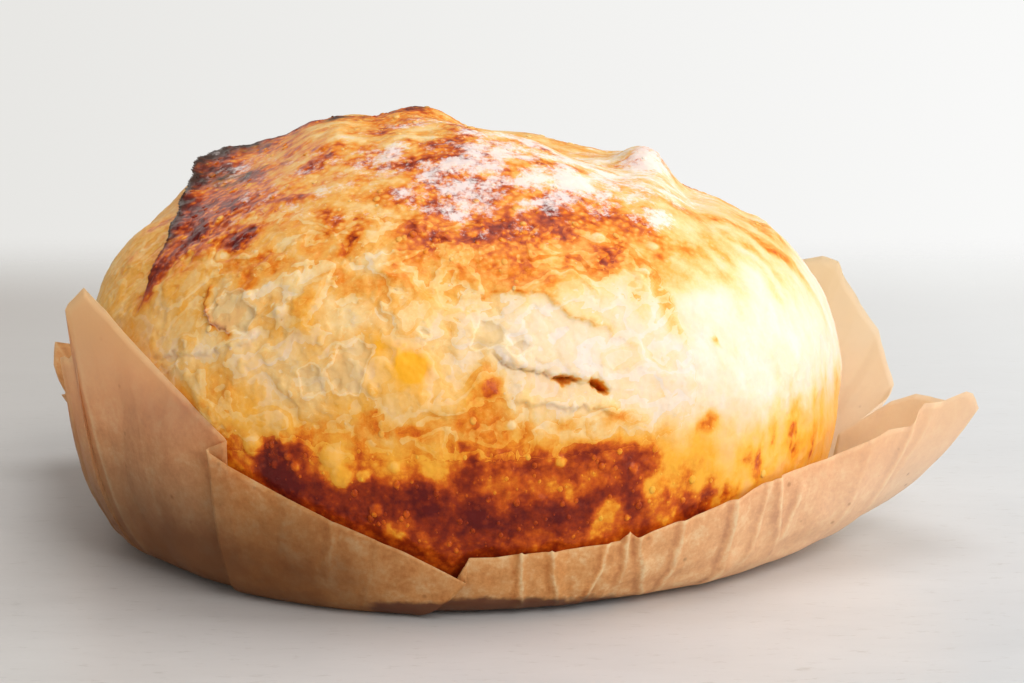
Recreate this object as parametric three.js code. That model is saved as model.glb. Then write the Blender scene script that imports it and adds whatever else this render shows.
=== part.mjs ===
// A round loaf of laminated white bread, still in the sheet of parchment paper it was baked on.
//
// Millimetres, +Z up. The origin is the centre of the paper's flat base, on the surface that the
// loaf stands on. -Y is the front, where the paper stands lowest. Angles round the loaf are in
// degrees from the front, growing towards +X (the right).
//
// The loaf is one baked piece: a domed crust with a flat base. The paper is one thin sheet that
// lies flat under the loaf, turns up round its foot and stands open in four uneven corners.

import * as THREE from "three";

// ---------------------------------------------------------------- driving dimensions

const PAPER_THICKNESS = 0.4;
const CLEARANCE = 0.35; // between the loaf and the paper

const LOAF_CENTRE = new THREE.Vector3(3, 2, 50); // the crust is measured outwards from here
const LOAF_HALF_WIDTH = 108;
const LOAF_HALF_DEPTH = 102;
const LOAF_CROWN = 69; // from the centre to the top, before the swellings
const LOAF_KEEL = 79; // the same downwards, before the base cuts it off flat
const LOAF_BASE_HEIGHT = PAPER_THICKNESS + CLEARANCE;
const LOAF_FOOT_ROUNDING = 7; // how softly the side turns into the flat base

const PLAN_POWER = 2.15; // 2 is an ellipse seen from above, more is squarer
const CROWN_POWER = 2.0;
const KEEL_POWER = 2.5;

const PAPER_FOOT_RADIUS = 88; // where the paper leaves the surface it lies on
const PLEAT_DEPTH = 1.1; // how far the paper's pleats stand in and out at the cut edge
const PLEATS = 22;

const LOAF_COLUMNS = 84;
const LOAF_ROWS = 30;
const PAPER_COLUMNS = 120;
const PAPER_ROWS = 7;

// Where the dough rose more or less than a plain dome.
// [angle round, angle up, spread in degrees, rise in mm]
const SWELLINGS = [
  [-96, 40, 13, 8.5], // the square left shoulder, where the burnt lip stands up
  [-97, 15, 12, -2.5], // the waist under that shoulder
  [-140, 46, 16, 5],
  [-120, 60, 9, -3], // the torn hollow behind the lip
  [-70, 62, 16, 1.5],
  [-137, 76, 12, 2.5], // the peak, left of the middle
  [114, 68, 17, -7], // the saddle right of the peak
  [130, 78, 11, -4],
  [104, 47, 8, 4.5], // a torn knob beyond the saddle
  [100, 42, 26, -5], // the long slope down to the right
  [60, 52, 22, -4],
  [160, 66, 18, -4], // and behind it
  [-20, 20, 20, 2.5], // the full front
  [35, 8, 16, 2.5],
  [-45, -4, 16, 1.5],
  [12, 38, 15, -1.5],
  [-38, 42, 12, -1.5],
  [170, 15, 25, 2],
  [-160, 30, 14, -2.5],
];

// The paper once round from the front.
// [angle round, radius of the cut edge, its height, how far out the turn-up reaches]
const CUT_EDGE = [
  [3, 96, 11.5, 96], // its lowest point, at the front fold
  [6, 98, 17.5, 97],
  [12, 99, 17.5, 97],
  [23, 102, 19.5, 98],
  [29, 103.5, 20.5, 99],
  [35.5, 106, 24, 101],
  [44, 109, 27.5, 106],
  [52, 111, 31, 110],
  [62, 118, 33.5, 112],
  [69, 128, 36.5, 113],
  [78, 147.5, 44.5, 113], // the right corner, flared low and wide
  [81, 148.5, 39, 113],
  [92, 139, 32, 112],
  [104, 136, 29, 110],
  [111, 136, 47, 108],
  [117, 134, 67, 106], // the back right corner, tall
  [124, 129, 65, 105],
  [140, 117, 46, 103],
  [158, 112, 30, 101],
  [180, 110, 24, 100],
  [203, 113, 25, 100],
  [226, 124, 31, 101],
  [243, 141.5, 39.5, 102], // the back left corner
  [248, 136, 33, 102],
  [258, 119, 31, 104],
  [270, 112, 40, 107],
  [281, 112, 52, 108],
  [291, 113, 60, 108],
  [297, 114, 72, 106],
  [303, 113.5, 80.5, 104], // the left corner, the tallest
  [309, 110.5, 71.5, 103],
  [315, 108, 63.5, 102],
  [321, 106.5, 55.5, 100],
  [328.5, 106, 46, 99],
  [333, 104.5, 38, 99],
  [339, 103, 32, 98],
  [345, 101.5, 27, 98],
  [350.5, 100, 22, 97],
  [356.5, 98, 16.5, 97],
];

// ---------------------------------------------------------------- helpers

const RADIANS = Math.PI / 180;

// A unit vector at an angle round the loaf and an angle up.
function direction(round, up) {
  return new THREE.Vector3(
    Math.sin(round) * Math.cos(up),
    -Math.cos(round) * Math.cos(up),
    Math.sin(up),
  );
}

// A closed surface from one pole through a stack of closed rings to the other pole. The rings run
// anticlockwise when seen from the side of the last pole. From the ring numbered mirrorFrom on,
// the four-sided cells are halved along their other diagonal.
function closedSurface(firstPole, rings, lastPole, mirrorFrom = rings.length) {
  const columns = rings[0].length;
  const points = [firstPole, ...rings.flat(), lastPole];
  const at = (row, column) => 1 + row * columns + (column % columns);
  const index = [];
  for (let c = 0; c < columns; c++) {
    index.push(0, at(0, c + 1), at(0, c));
    for (let r = 0; r + 1 < rings.length; r++) {
      const corners = [at(r, c), at(r, c + 1), at(r + 1, c + 1), at(r + 1, c)];
      if (r >= mirrorFrom) corners.push(corners.shift());
      index.push(corners[0], corners[1], corners[3], corners[1], corners[2], corners[3]);
    }
    const top = rings.length - 1;
    index.push(points.length - 1, at(top, c), at(top, c + 1));
  }
  const geometry = new THREE.BufferGeometry().setFromPoints(points);
  geometry.setIndex(index);
  geometry.computeVertexNormals();
  return geometry;
}

// The smaller of two lengths, with the corner between them rounded.
function softMinimum(a, b, rounding) {
  const h = Math.max(rounding - Math.abs(a - b), 0) / rounding;
  return Math.min(a, b) - (h * h * rounding) / 4;
}

// ---------------------------------------------------------------- loaf

// How far the crust lies from the loaf's centre in a direction.
function crustDistance(heading) {
  const height = heading.z > 0 ? LOAF_CROWN : LOAF_KEEL;
  const power = heading.z > 0 ? CROWN_POWER : KEEL_POWER;
  const plan = Math.pow(
    Math.pow(Math.abs(heading.x) / LOAF_HALF_WIDTH, PLAN_POWER) +
      Math.pow(Math.abs(heading.y) / LOAF_HALF_DEPTH, PLAN_POWER),
    1 / PLAN_POWER,
  );
  const dome = Math.pow(
    Math.pow(plan, power) + Math.pow(Math.abs(heading.z) / height, power),
    -1 / power,
  );
  let rise = 0;
  for (const [round, up, spread, amount] of SWELLINGS) {
    const apart = heading.angleTo(direction(round * RADIANS, up * RADIANS)) / RADIANS;
    rise += amount * Math.exp(-((apart / spread) ** 2));
  }
  if (heading.z >= 0) return dome + rise;
  const toBase = (LOAF_CENTRE.z - LOAF_BASE_HEIGHT) / -heading.z;
  return softMinimum(dome + rise, toBase, LOAF_FOOT_ROUNDING);
}

function crustPoint(round, up) {
  const heading = direction(round, up);
  return heading.multiplyScalar(crustDistance(heading)).add(LOAF_CENTRE);
}

function loafGeometry() {
  const rings = [];
  for (let r = 1; r < LOAF_ROWS; r++) {
    const up = (-0.5 + r / LOAF_ROWS) * Math.PI;
    const ring = [];
    for (let c = 0; c < LOAF_COLUMNS; c++) {
      ring.push(crustPoint((c / LOAF_COLUMNS) * 2 * Math.PI, up));
    }
    rings.push(ring);
  }
  return closedSurface(crustPoint(0, -Math.PI / 2), rings, crustPoint(0, Math.PI / 2));
}

// The loaf's radius from the Z axis at an angle round and a height, found by stepping outwards
// until the point is outside the crust.
function loafRadiusAt(round, height) {
  const step = 0.5;
  let radius = PAPER_FOOT_RADIUS / 2;
  for (; radius < 2 * LOAF_HALF_WIDTH; radius += step) {
    const offset = direction(round, 0).multiplyScalar(radius).setZ(height).sub(LOAF_CENTRE);
    const distance = offset.length();
    if (distance > crustDistance(offset.divideScalar(distance))) break;
  }
  return radius;
}

// ---------------------------------------------------------------- parchment paper

// The cut edge's radius and height, and the turn-up's reach, at an angle round the loaf.
function cutEdgeAt(round) {
  const first = CUT_EDGE[0];
  const edge = [...CUT_EDGE, [first[0] + 360, ...first.slice(1)]];
  const degrees = THREE.MathUtils.euclideanModulo(round / RADIANS - first[0], 360) + first[0];
  const next = edge.findIndex(([angle]) => angle > degrees);
  const from = edge[next - 1];
  const to = edge[next];
  const share = (degrees - from[0]) / (to[0] - from[0]);
  const [radius, height, reach] = [1, 2, 3].map((k) =>
    THREE.MathUtils.lerp(from[k], to[k], share),
  );
  return { radius, height, reach };
}

// The pleats: sharp folds, unevenly spaced, from 1 (out) to -1 (in).
function pleatAt(round) {
  const wander = 0.6 * Math.sin(3 * round + 1) + 0.4 * Math.sin(7 * round);
  const phase = (PLEATS * round + 2 * wander) / (2 * Math.PI);
  return 4 * Math.abs(phase - Math.floor(phase) - 0.5) - 1;
}

// The outer face at an angle round the loaf, as (radius, height), from share 0 at the foot to
// share 1 at the cut edge.
function paperProfile(round, share) {
  const { radius, height, reach } = cutEdgeAt(round);
  const wall = new THREE.QuadraticBezierCurve(
    new THREE.Vector2(PAPER_FOOT_RADIUS, 0),
    new THREE.Vector2(reach, 0),
    new THREE.Vector2(radius, height),
  ).getPoint(share);
  const pleat = PLEAT_DEPTH * share;
  const clear = loafRadiusAt(round, wall.y) + PAPER_THICKNESS + CLEARANCE + pleat;
  wall.x = Math.max(wall.x, clear) + pleat * pleatAt(round);
  return wall;
}

// The inner face: the outer one moved by the paper's thickness, square to its slope.
function insideProfile(round, share) {
  const below = paperProfile(round, Math.max(share - 0.02, 0));
  const above = paperProfile(round, Math.min(share + 0.02, 1));
  const slope = above.sub(below).normalize();
  const inward = new THREE.Vector2(-slope.y, slope.x);
  return paperProfile(round, share).addScaledVector(inward, PAPER_THICKNESS);
}

// One closed ring of points, from a profile taken at one share of the way up.
function paperRing(profile, share) {
  return Array.from({ length: PAPER_COLUMNS }, (_, column) => {
    const round = (column / PAPER_COLUMNS) * 2 * Math.PI;
    const { x: radius, y: height } = profile(round, share);
    return direction(round, 0).multiplyScalar(radius).setZ(height);
  });
}

// The outer face from the foot up to the cut edge, then the inner face back down to the foot.
function paperGeometry() {
  const shares = Array.from({ length: PAPER_ROWS }, (_, row) => row / (PAPER_ROWS - 1));
  const outside = shares.map((share) => paperRing(paperProfile, share));
  const inside = shares.map((share) => paperRing(insideProfile, share)).reverse();
  return closedSurface(
    new THREE.Vector3(0, 0, 0),
    [...outside, ...inside],
    new THREE.Vector3(0, 0, PAPER_THICKNESS),
    PAPER_ROWS,
  );
}

// ---------------------------------------------------------------- the group

const loaf = new THREE.Mesh(
  loafGeometry(),
  new THREE.MeshStandardMaterial({ color: "#d9974a", roughness: 0.55, metalness: 0 }),
);
loaf.name = "loaf";

const parchment = new THREE.Mesh(
  paperGeometry(),
  new THREE.MeshStandardMaterial({ color: "#c8935c", roughness: 0.6, metalness: 0 }),
);
parchment.name = "parchment_paper";

const loafInPaper = new THREE.Group();
loafInPaper.add(loaf, parchment);

export default loafInPaper;
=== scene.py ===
"""A round loaf of laminated bread in the sheet of baking parchment it was baked on."""

import math

import bmesh
import bpy
import numpy as np
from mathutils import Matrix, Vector
from mathutils.bvhtree import BVHTree
from mathutils.kdtree import KDTree


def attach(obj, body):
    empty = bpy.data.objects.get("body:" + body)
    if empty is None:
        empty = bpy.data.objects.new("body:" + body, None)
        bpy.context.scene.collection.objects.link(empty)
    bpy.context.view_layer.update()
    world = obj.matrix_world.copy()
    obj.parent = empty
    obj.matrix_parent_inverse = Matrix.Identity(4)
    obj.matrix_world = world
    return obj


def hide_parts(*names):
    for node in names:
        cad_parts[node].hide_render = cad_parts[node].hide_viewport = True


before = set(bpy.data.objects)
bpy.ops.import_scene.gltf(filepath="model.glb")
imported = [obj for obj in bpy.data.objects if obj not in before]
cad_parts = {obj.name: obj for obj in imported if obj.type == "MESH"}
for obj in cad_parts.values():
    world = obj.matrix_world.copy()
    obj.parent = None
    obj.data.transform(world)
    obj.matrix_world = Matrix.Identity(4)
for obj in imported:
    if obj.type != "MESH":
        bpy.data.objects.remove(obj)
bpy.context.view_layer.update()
MM = 0.001

# ---------------------------------------------------------------- camera
# A short telephoto, a little above the table and square to the front of the loaf.

CAMERA_TARGET = Vector((17, 0, 53.5)) * MM
CAMERA_DISTANCE = 700 * MM
CAMERA_ELEVATION = math.radians(11.5)

camera_data = bpy.data.cameras.new("camera")
camera_data.lens = 85
camera_data.sensor_width = 36
camera = bpy.data.objects.new("camera", camera_data)
toward_camera = Vector((0, -math.cos(CAMERA_ELEVATION), math.sin(CAMERA_ELEVATION)))
camera.location = CAMERA_TARGET + toward_camera * CAMERA_DISTANCE
camera.rotation_euler = toward_camera.to_track_quat("Z", "Y").to_euler()
bpy.context.scene.collection.objects.link(camera)
bpy.context.scene.camera = camera

# ---------------------------------------------------------------- parchment paper
# One square of thin brown baking parchment. It lies flat under the loaf, turns up round its foot
# and leans on its sides, and where the sheet is too long for the round loaf it is folded over
# itself in three-layer pleats. Its corners stand up: one tall on the left, one flared out on the
# right and one behind it. Cut edges are straight and sharp; fat has darkened it along the foot.
# Its colour also holds painted light and shade: darker low on the left where shade falls, paler
# high up and on the right where light falls, a light line on its cut edge and light and dark
# lines at its creases.

LOAF_CENTRE = np.array([3.0, 2.0, 50.0])  # mm: where every direction below starts
SIDE_RADIUS = 105.0  # mm, to turn degrees on the crust into millimetres
MM_PER_DEGREE = math.radians(SIDE_RADIUS)
CAD_COLUMNS = 84
CAD_ROWS = 30
PAPER_THICKNESS = 0.12
PAPER_FOOT = 88.0  # mm from the axis to where the sheet leaves the table
FLARED_FOOT = 5.0  # and this much further out on the right
LAYER_GAP = 0.45
PAPER_CLEARANCE = 0.75  # from the crust to the sheet
COLUMN_STEP = 0.85  # mm along the cut edge
WALL_ROWS = 41
BASE_ROWS = 5

# Walking round the cut edge from the back by the left to the front and on. The angle turns back
# where the paper folds over itself, and the layer counts outwards from the crust.
# [degrees at the edge, mm from the axis, height, degrees at the foot, reach of the turn-up, layer]
CUT_EDGE = [
    [-180, 110, 24, -180, 100, 0],
    [-157, 113, 25, -157, 100, 0],
    [-134, 124, 31, -134, 101, 0],
    [-122, 135, 36, -122, 102, 0],
    [-117, 141.5, 39.5, -117, 102, 0],
    [-114, 138, 34, -114.5, 102, 0],
    [-108, 127, 29, -109, 103, 0],
    [-100, 118, 32, -101, 104, 0],
    [-90, 112, 42, -90, 107, 0],
    [-79, 111, 51.5, -79, 108, 0],
    [-72, 112.5, 56, -72, 108, 0],
    [-66.5, 113.6, 58.5, -66.5, 108, 0],
    [-63.4, 113.4, 59, -64, 107.5, 0],
    [-60.9, 112.8, 62, -62.5, 107, 0],
    [-61.4, 113.8, 68, -62, 106.6, 0],
    [-62, 114.5, 73, -61.4, 106.4, 0],
    [-57, 113.4, 80.4, -57.8, 104, 0],
    [-51.5, 110.5, 71.8, -53, 103, 0],
    [-45, 108, 63.3, -47.5, 102, 0],
    [-39, 106.5, 55.3, -42.5, 100, 0],
    [-34.4, 106, 49.2, -38.6, 99, 0],
    [-32.2, 105.9, 46.6, -37.5, 99, 0],
    [-31.8, 105.9, 45.8, -37.4, 99, 0.3],
    [-32.1, 105.9, 45.6, -37.4, 99, 1],
    [-34.6, 106, 43.6, -37.3, 99, 1.1],
    [-34.8, 106, 43.2, -37.3, 99, 1.7],
    [-34.4, 106, 42.8, -37.2, 99, 2],
    [-31.3, 105.6, 39.6, -34.6, 99, 2],
    [-24, 102.8, 33.2, -29, 98.5, 2],
    [-16, 102, 27.2, -22.5, 98, 2],
    [-6, 99.5, 19.6, -14, 97, 2],
    [0.5, 97.6, 13.4, -8, 96.5, 2],
    [3.1, 96.8, 10.9, -6.7, 96.5, 2],
    [3.2, 96.7, 11.6, -6.7, 96.5, 1.1],
    [3.6, 97.2, 17.1, -6.6, 96.8, 0.9],
    [3.9, 97.3, 17.2, -6.5, 96.8, 0],
    [7.5, 98, 17.3, -1, 97, 0],
    [10.9, 98.4, 18, 8, 97, 0],
    [11.3, 98.5, 18.6, 11.6, 97, 0],
    [11.9, 98.5, 18, 12.6, 97, 0],
    [15.4, 99.3, 18.4, 18.4, 97.3, 0],
    [15.7, 99.4, 18.9, 18.8, 97.3, 0],
    [16.2, 99.5, 18.4, 19.2, 97.4, 0],
    [24.1, 101.8, 19.7, 23.6, 98, 0],
    [26, 102.5, 20, 25, 98.6, 0],
    [27.1, 103, 22.6, 27, 99, 0],
    [28.3, 103.5, 20.7, 30.5, 99, 0],
    [35.2, 106, 24, 35.6, 101, 0],
    [43.6, 109, 27.8, 44, 106, 0],
    [51, 111, 31, 52, 110, 0],
    [57, 114.4, 32.6, 58, 111, 0],
    [62, 118, 33.8, 62, 115, 0],
    [68, 128.6, 38.6, 67, 119, 0],
    [71.2, 132.6, 38.2, 70.5, 122, 0],
    [72.2, 134.6, 41, 71.6, 123, 0],
    [73.4, 136.4, 43.8, 73, 124, 0],
    [76, 141.3, 43.3, 75.8, 125, 0],
    [78.2, 147, 45, 78.2, 126, 0],
    [79, 148.2, 44, 79, 126, 0],
    [81, 148.5, 38.6, 81, 125, 0],
    [86, 140.5, 38.2, 85, 121, 0],
    [90, 134.8, 37.6, 89, 117, 0],
    [92.4, 128.6, 34.2, 92, 114, 0],
    [94.2, 120.6, 28, 94.4, 112, 0],
    [95.4, 115, 23.4, 96, 111.6, 0],
    [96, 115, 23, 96.2, 111.4, 0.4],
    [97, 120, 25, 96.5, 111.2, 1],
    [99.6, 131, 31, 98, 111, 0.5],
    [103, 135.8, 33.6, 101.5, 110.4, 0],
    [109.3, 136, 48.2, 109, 108, 0],
    [116.8, 133, 66.4, 116.8, 106, 0],
    [119.6, 130.6, 67.4, 119.6, 105.6, 0],
    [125, 127.4, 64, 125, 105, 0],
    [140, 117, 46, 140, 103, 0],
    [158, 112, 30, 158, 101, 0],
    [180, 110, 24, 180, 100, 0],
]

# Creases running up the wall.
# [degrees at the edge, degrees at the foot, height in mm, mm to its left, mm to its right,
#  where it starts and ends up the wall, from 0 to 1]
CREASES = [
    [-60.4, -58.5, 2.6, 17, 13, 0.08, 1.1],
    [-92, -90, 1.6, 14, 10, 0.1, 1.1],
    [-117, -117, 3, 16, 16, 0.15, 1.1],
    [-50, -46, 0.5, 7, 16, 0.0, 0.9],
    [-16, -20, 0.6, 2.4, 1.2, 0.6, 1.1],
    [-9.4, -15, 0.5, 1.2, 4, 0.4, 1.1],
    [11.3, 12, 1.5, 0.9, 1.5, 0.1, 1.2],
    [15.7, 18.8, 1.4, 1.0, 3.4, 0.1, 1.2],
    [24.3, 20.5, 1.4, 4.6, 0.9, 0.1, 1.1],
    [27.1, 27.4, 1.6, 1.1, 1.3, 0.5, 1.2],
    [28.6, 33.5, 1.5, 0.9, 4, 0.1, 1.1],
    [35.4, 34.4, 1.5, 1.0, 3.4, 0.2, 1.1],
    [43.7, 43.6, 2.0, 1.2, 6.5, 0.15, 1.1],
    [50, 46.5, 1.1, 1.6, 1.4, 0.45, 1.1],
    [51.6, 57, 2.2, 3.4, 1.4, 0.5, 1.1],
    [56, 53, 1.4, 1.4, 4, 0.55, 0.9],
    [66, 66, 0.7, 3, 7, 0.3, 1.1],
    [71.6, 69.4, 1.8, 2, 2.4, 0.5, 1.1],
    [74.5, 73.5, 1.0, 1.6, 4, 0.6, 1.1],
    [81, 82, 2.4, 8, 12, 0.1, 1.1],
    [88, 87, 1.2, 3, 6, 0.4, 1.1],
    [109, 107, 1.2, 4, 7, 0.2, 1.1],
    [119, 118, 2.2, 8, 12, 0.1, 1.1],
    [133, 131, 1.8, 2, 6, 0.1, 1.1],
    [146, 148, 1.7, 6, 1.4, 0.1, 1.1],
    [161, 158, 1.6, 1.4, 7, 0.1, 1.1],
    [175, 177, 1.7, 5, 2, 0.1, 1.1],
    [-170, -172, 1.5, 1.4, 5, 0.1, 1.1],
    [-154, -151, 1.7, 6, 1.4, 0.1, 1.1],
    [-141, -143, 1.6, 1.4, 6, 0.1, 1.1],
    [-128, -127, 1.4, 5, 2, 0.1, 1.1],
    [-104, -106, 1.6, 2, 5, 0.1, 1.1],
    [-80, -78, 1.3, 2, 6, 0.1, 1.1],
    [-70, -69, 1.1, 4, 2, 0.1, 1.1],
]


def wave(points, size, seed):
    """Smooth noise from -1 to 1 at points in mm, with bumps about size mm across."""
    scaled = points / size + seed * 17.31
    corner = np.floor(scaled).astype(np.int64)
    part = scaled - corner
    ease = part**3 * (part * (part * 6 - 15) + 10)
    total = np.zeros(len(points))
    for bits in range(8):
        shift = np.array([bits & 1, bits >> 1 & 1, bits >> 2 & 1])
        cell = (corner + shift) * np.array([73856093, 19349663, 83492791])
        key = (cell[:, 0] ^ cell[:, 1] ^ cell[:, 2] ^ (seed * 2654435761)) & 0xFFFFFFFF
        key = (key ^ (key >> 15)) * 2246822519 & 0xFFFFFFFF
        key = (key ^ (key >> 13)) * 3266489917 & 0xFFFFFFFF
        slopes = np.stack([key & 1023, key >> 10 & 1023, key >> 20 & 1023], 1) / 511.5 - 1
        weight = np.where(shift, ease, 1 - ease).prod(1)
        total += weight * (slopes * (part - shift)).sum(1)
    return total * 1.6


def rough_wave(points, size, seed, octaves=3, fade=0.55):
    """Several waves on top of each other, each half the size of the last."""
    return sum(wave(points, size / 2**k, seed + k) * fade**k for k in range(octaves))


def smoothstep(low, high, value):
    share = np.clip((value - low) / (high - low), 0, 1)
    return share * share * (3 - 2 * share)


def heading(around, up):
    """Unit vectors at degrees around from the front, growing to the right, and degrees up."""
    around, up = np.radians(around), np.radians(up)
    return np.stack([np.sin(around) * np.cos(up), -np.cos(around) * np.cos(up), np.sin(up)], -1)


def cad_distances():
    """The distance from the loaf's centre to the CAD crust, on the CAD's own lattice of angles."""
    joined = bmesh.new()
    joined.from_mesh(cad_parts["loaf"].data)
    bmesh.ops.remove_doubles(joined, verts=joined.verts, dist=0.002 * MM)
    tree = BVHTree.FromBMesh(joined)
    joined.free()
    origin = Vector(LOAF_CENTRE * MM)
    rows = []
    for row in range(CAD_ROWS + 1):
        up = row * 180 / CAD_ROWS - 90
        ways = heading(np.arange(CAD_COLUMNS) * 360 / CAD_COLUMNS, np.full(CAD_COLUMNS, up))
        rows.append([tree.ray_cast(origin, Vector(way))[3] / MM for way in ways])
    return np.array(rows)


def crust_distance(around, up):
    """The CAD crust's distance at any angle, smoothly through the lattice's corners."""
    lattice = cad_lattice
    column = around / 360 * CAD_COLUMNS
    row = (up + 90) / 180 * CAD_ROWS
    column_cell, row_cell = np.floor(column).astype(int), np.floor(row).astype(int)
    total = 0
    for dr in range(-1, 3):
        for dc in range(-1, 3):
            r = row_cell + dr
            over = (r < 0) | (r > CAD_ROWS)  # past a pole is the other side of the loaf
            r = np.where(r < 0, -r, np.where(r > CAD_ROWS, 2 * CAD_ROWS - r, r))
            c = (column_cell + dc + np.where(over, CAD_COLUMNS // 2, 0)) % CAD_COLUMNS
            share = spline(row - row_cell, dr) * spline(column - column_cell, dc)
            total = total + share * lattice[r, c]
    return total


def spline(part, offset):
    """The weight of the lattice point at offset for a place part of the way from 0 to 1."""
    x = np.abs(part - offset)
    near = 2 / 3 - x**2 + x**3 / 2
    far = np.clip(2 - x, 0, None) ** 3 / 6
    return np.where(x < 1, near, far)


def sheet_wall(edge):
    """The sheet's lower face from the foot up to the cut edge: a grid of points in mm, with the
    degrees round, the share of the way up and the painted crease light and shade at each, and then
    the degrees round and the radius in mm of the foot that each column starts from."""
    turn = np.radians(edge[:, 0])
    corners = np.stack([np.sin(turn) * edge[:, 1], -np.cos(turn) * edge[:, 1], edge[:, 2]], 1)
    walked = np.concatenate([[0], np.cumsum(np.linalg.norm(np.diff(corners, axis=0), axis=1))])
    stops = np.unique(np.concatenate([
        np.linspace(a, b, max(2, round((b - a) / COLUMN_STEP)) + 1) for a, b in zip(walked, walked[1:])
    ]))[:-1]
    rim_angle, radius, height, foot_angle, reach, layer = (
        np.interp(stops, walked, column)[None] for column in edge.T)
    share = np.linspace(0, 1, WALL_ROWS)[:, None]
    around = foot_angle + (rim_angle - foot_angle) * share
    foot = PAPER_FOOT + FLARED_FOOT * smoothstep(25, 60, foot_angle) * smoothstep(130, 100, foot_angle)
    out = (1 - share) ** 2 * foot + 2 * share * (1 - share) * reach + share**2 * radius
    up = share**2 * height
    # each layer lies inside the next, measured square to the wall's slope
    slope_out = 2 * (1 - share) * (reach - foot) + 2 * share * (radius - reach)
    slope_up = 2 * share * height
    length = np.hypot(slope_out, slope_up)
    inset = (2 - layer) * LAYER_GAP
    out = out - inset * slope_up / length
    up = up + inset * slope_out / length
    walk = np.broadcast_to(stops[None], around.shape)
    share = np.broadcast_to(share, around.shape)
    layer = np.broadcast_to(layer, around.shape)

    # creases, then the slight buckles of a sheet that has been crumpled once
    flat = np.stack([walk, share * 60, layer * 31], -1).reshape(-1, 3)
    buckle = np.abs(wave(flat, 34, 60)) + 0.45 * np.abs(wave(flat, 15, 61)) + 0.2 * np.abs(wave(flat, 7, 62))
    buckle = buckle.reshape(around.shape)
    rough = np.interp(around, [-180, -70, -55, 0, 8, 30, 75, 180], [1.7, 1.2, 0.5, 0.45, 0.9, 1.5, 1.8, 1.7])
    out = out + buckle * rough * smoothstep(0.03, 0.5, share)
    painted_crease_shading = np.zeros(around.shape)
    for rim, base, high, left, right, start, end in CREASES:
        apart = np.radians(around - (base + (rim - base) * share)) * out
        apart = apart + 0.5 * np.interp(share * 60 + rim, np.arange(-200, 260, 7), crease_wander)
        tent = np.clip(1 - np.where(apart < 0, -apart / left, apart / right), 0, 1)
        there = smoothstep(start - 0.1, start + 0.25, share) * (share <= end) * (layer != 1)
        out = out + 0.75 * high * tent * there
        # painted light and shade: a light line on each crease's ridge and a dark line just left of it, where
        # shade falls in light from the right
        lit_ridge_and_dark_side = np.exp(-((apart / 0.6) ** 2)) - 0.7 * np.exp(-(((apart + 1.3) / 0.9) ** 2))
        painted_crease_shading += there * min(1, high / 1.6) * lit_ridge_and_dark_side
    outermost = np.nonzero(layer[0] > 1.95)[0]
    from_fold = np.minimum(np.abs(walk - stops[outermost[0]]), np.abs(stops[outermost[-1]] - walk))
    out = out + 1.1 * np.exp(-from_fold / 5) * smoothstep(1.2, 2, layer) * smoothstep(0, 0.3, share)
    turn = np.radians(around)
    points = np.stack([np.sin(turn) * out, -np.cos(turn) * out, up], -1)

    # nothing goes into the crust
    away = points - LOAF_CENTRE
    distance = np.linalg.norm(away, axis=-1)
    way = away / distance[..., None]
    crust = crust_distance(np.degrees(np.arctan2(way[..., 0], -way[..., 1])),
                           np.degrees(np.arcsin(way[..., 2])))
    least = crust + PAPER_CLEARANCE + layer * LAYER_GAP
    push = np.maximum(least - distance, 0)[..., None] * way
    push[..., 2] *= smoothstep(0, 0.3, share)
    return points + push, around, share, painted_crease_shading, foot_angle[0], foot[0]


def ring_quads(row_count, column_count):
    """For a grid whose columns close into a ring: its corners' numbers, those of the next column's
    corners, and its quads."""
    index = np.arange(row_count * column_count).reshape(row_count, column_count)
    following = np.roll(index, -1, axis=1)
    quads = np.stack([index[:-1], following[:-1], following[1:], index[1:]], -1).reshape(-1, 4)
    return index, following, quads


cad_lattice = cad_distances()
crease_wander = np.random.default_rng(3).uniform(-1, 1, 66)
wall, wall_around, wall_share, wall_crease_shading, foot_angles, foot_radii = sheet_wall(np.array(CUT_EDGE, float))
wall[..., 2] = np.maximum(wall[..., 2], PAPER_THICKNESS)
turn = np.radians(foot_angles)
rings = [
    np.stack([np.sin(turn) * foot_radii * k / BASE_ROWS, -np.cos(turn) * foot_radii * k / BASE_ROWS,
              0 * turn + PAPER_THICKNESS], -1)
    for k in range(1, BASE_ROWS)
]
grid = np.concatenate([np.stack(rings), wall])
row_count, column_count = grid.shape[:2]
index, following, quads = ring_quads(row_count, column_count)
middle = row_count * column_count
caps = [(middle, b, a) for a, b in zip(index[0], following[0])]
paper_mesh = bpy.data.meshes.new("parchment")
corners = [*(grid.reshape(-1, 3) * MM).tolist(), (0, 0, PAPER_THICKNESS * MM)]
paper_mesh.from_pydata(corners, [], quads.tolist() + caps)
parchment = bpy.data.objects.new("parchment", paper_mesh)
bpy.context.scene.collection.objects.link(parchment)
# What the fat, the heat and the folding did to the sheet, with painted light and shade, by
# [degrees around, share] at its foot: soaked with fat and painted darker on the left where shade
# falls, scorched where it pooled, and dry and pale, painted paler still on the right where light falls.
SOAKED_AND_SHADED = [[-180, 0.5], [-95, 0.7], [-70, 0.95], [-45, 1.15], [-20, 1.05], [-5, 0.55], [12, 0.25],
          [30, 0.12], [45, 0], [180, 0.2]]
POOLED = [[-50, 0.1], [-30, 0.3], [-16, 0.3], [-8, 1], [13, 1], [24, 0.85], [34, 0.4], [60, 0]]
DRY_AND_LIT = [[-85, 0.1], [-60, 0.35], [-40, 0.3], [-30, 0], [20, 0], [60, 0.6], [85, 1.3], [120, 1.6],
       [180, 0.8]]
CUT_EDGE_SHARE = 0.985  # of the way up the wall: above this the edge catches the light
CUT_EDGE_HIGHLIGHT = 0.25

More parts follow.
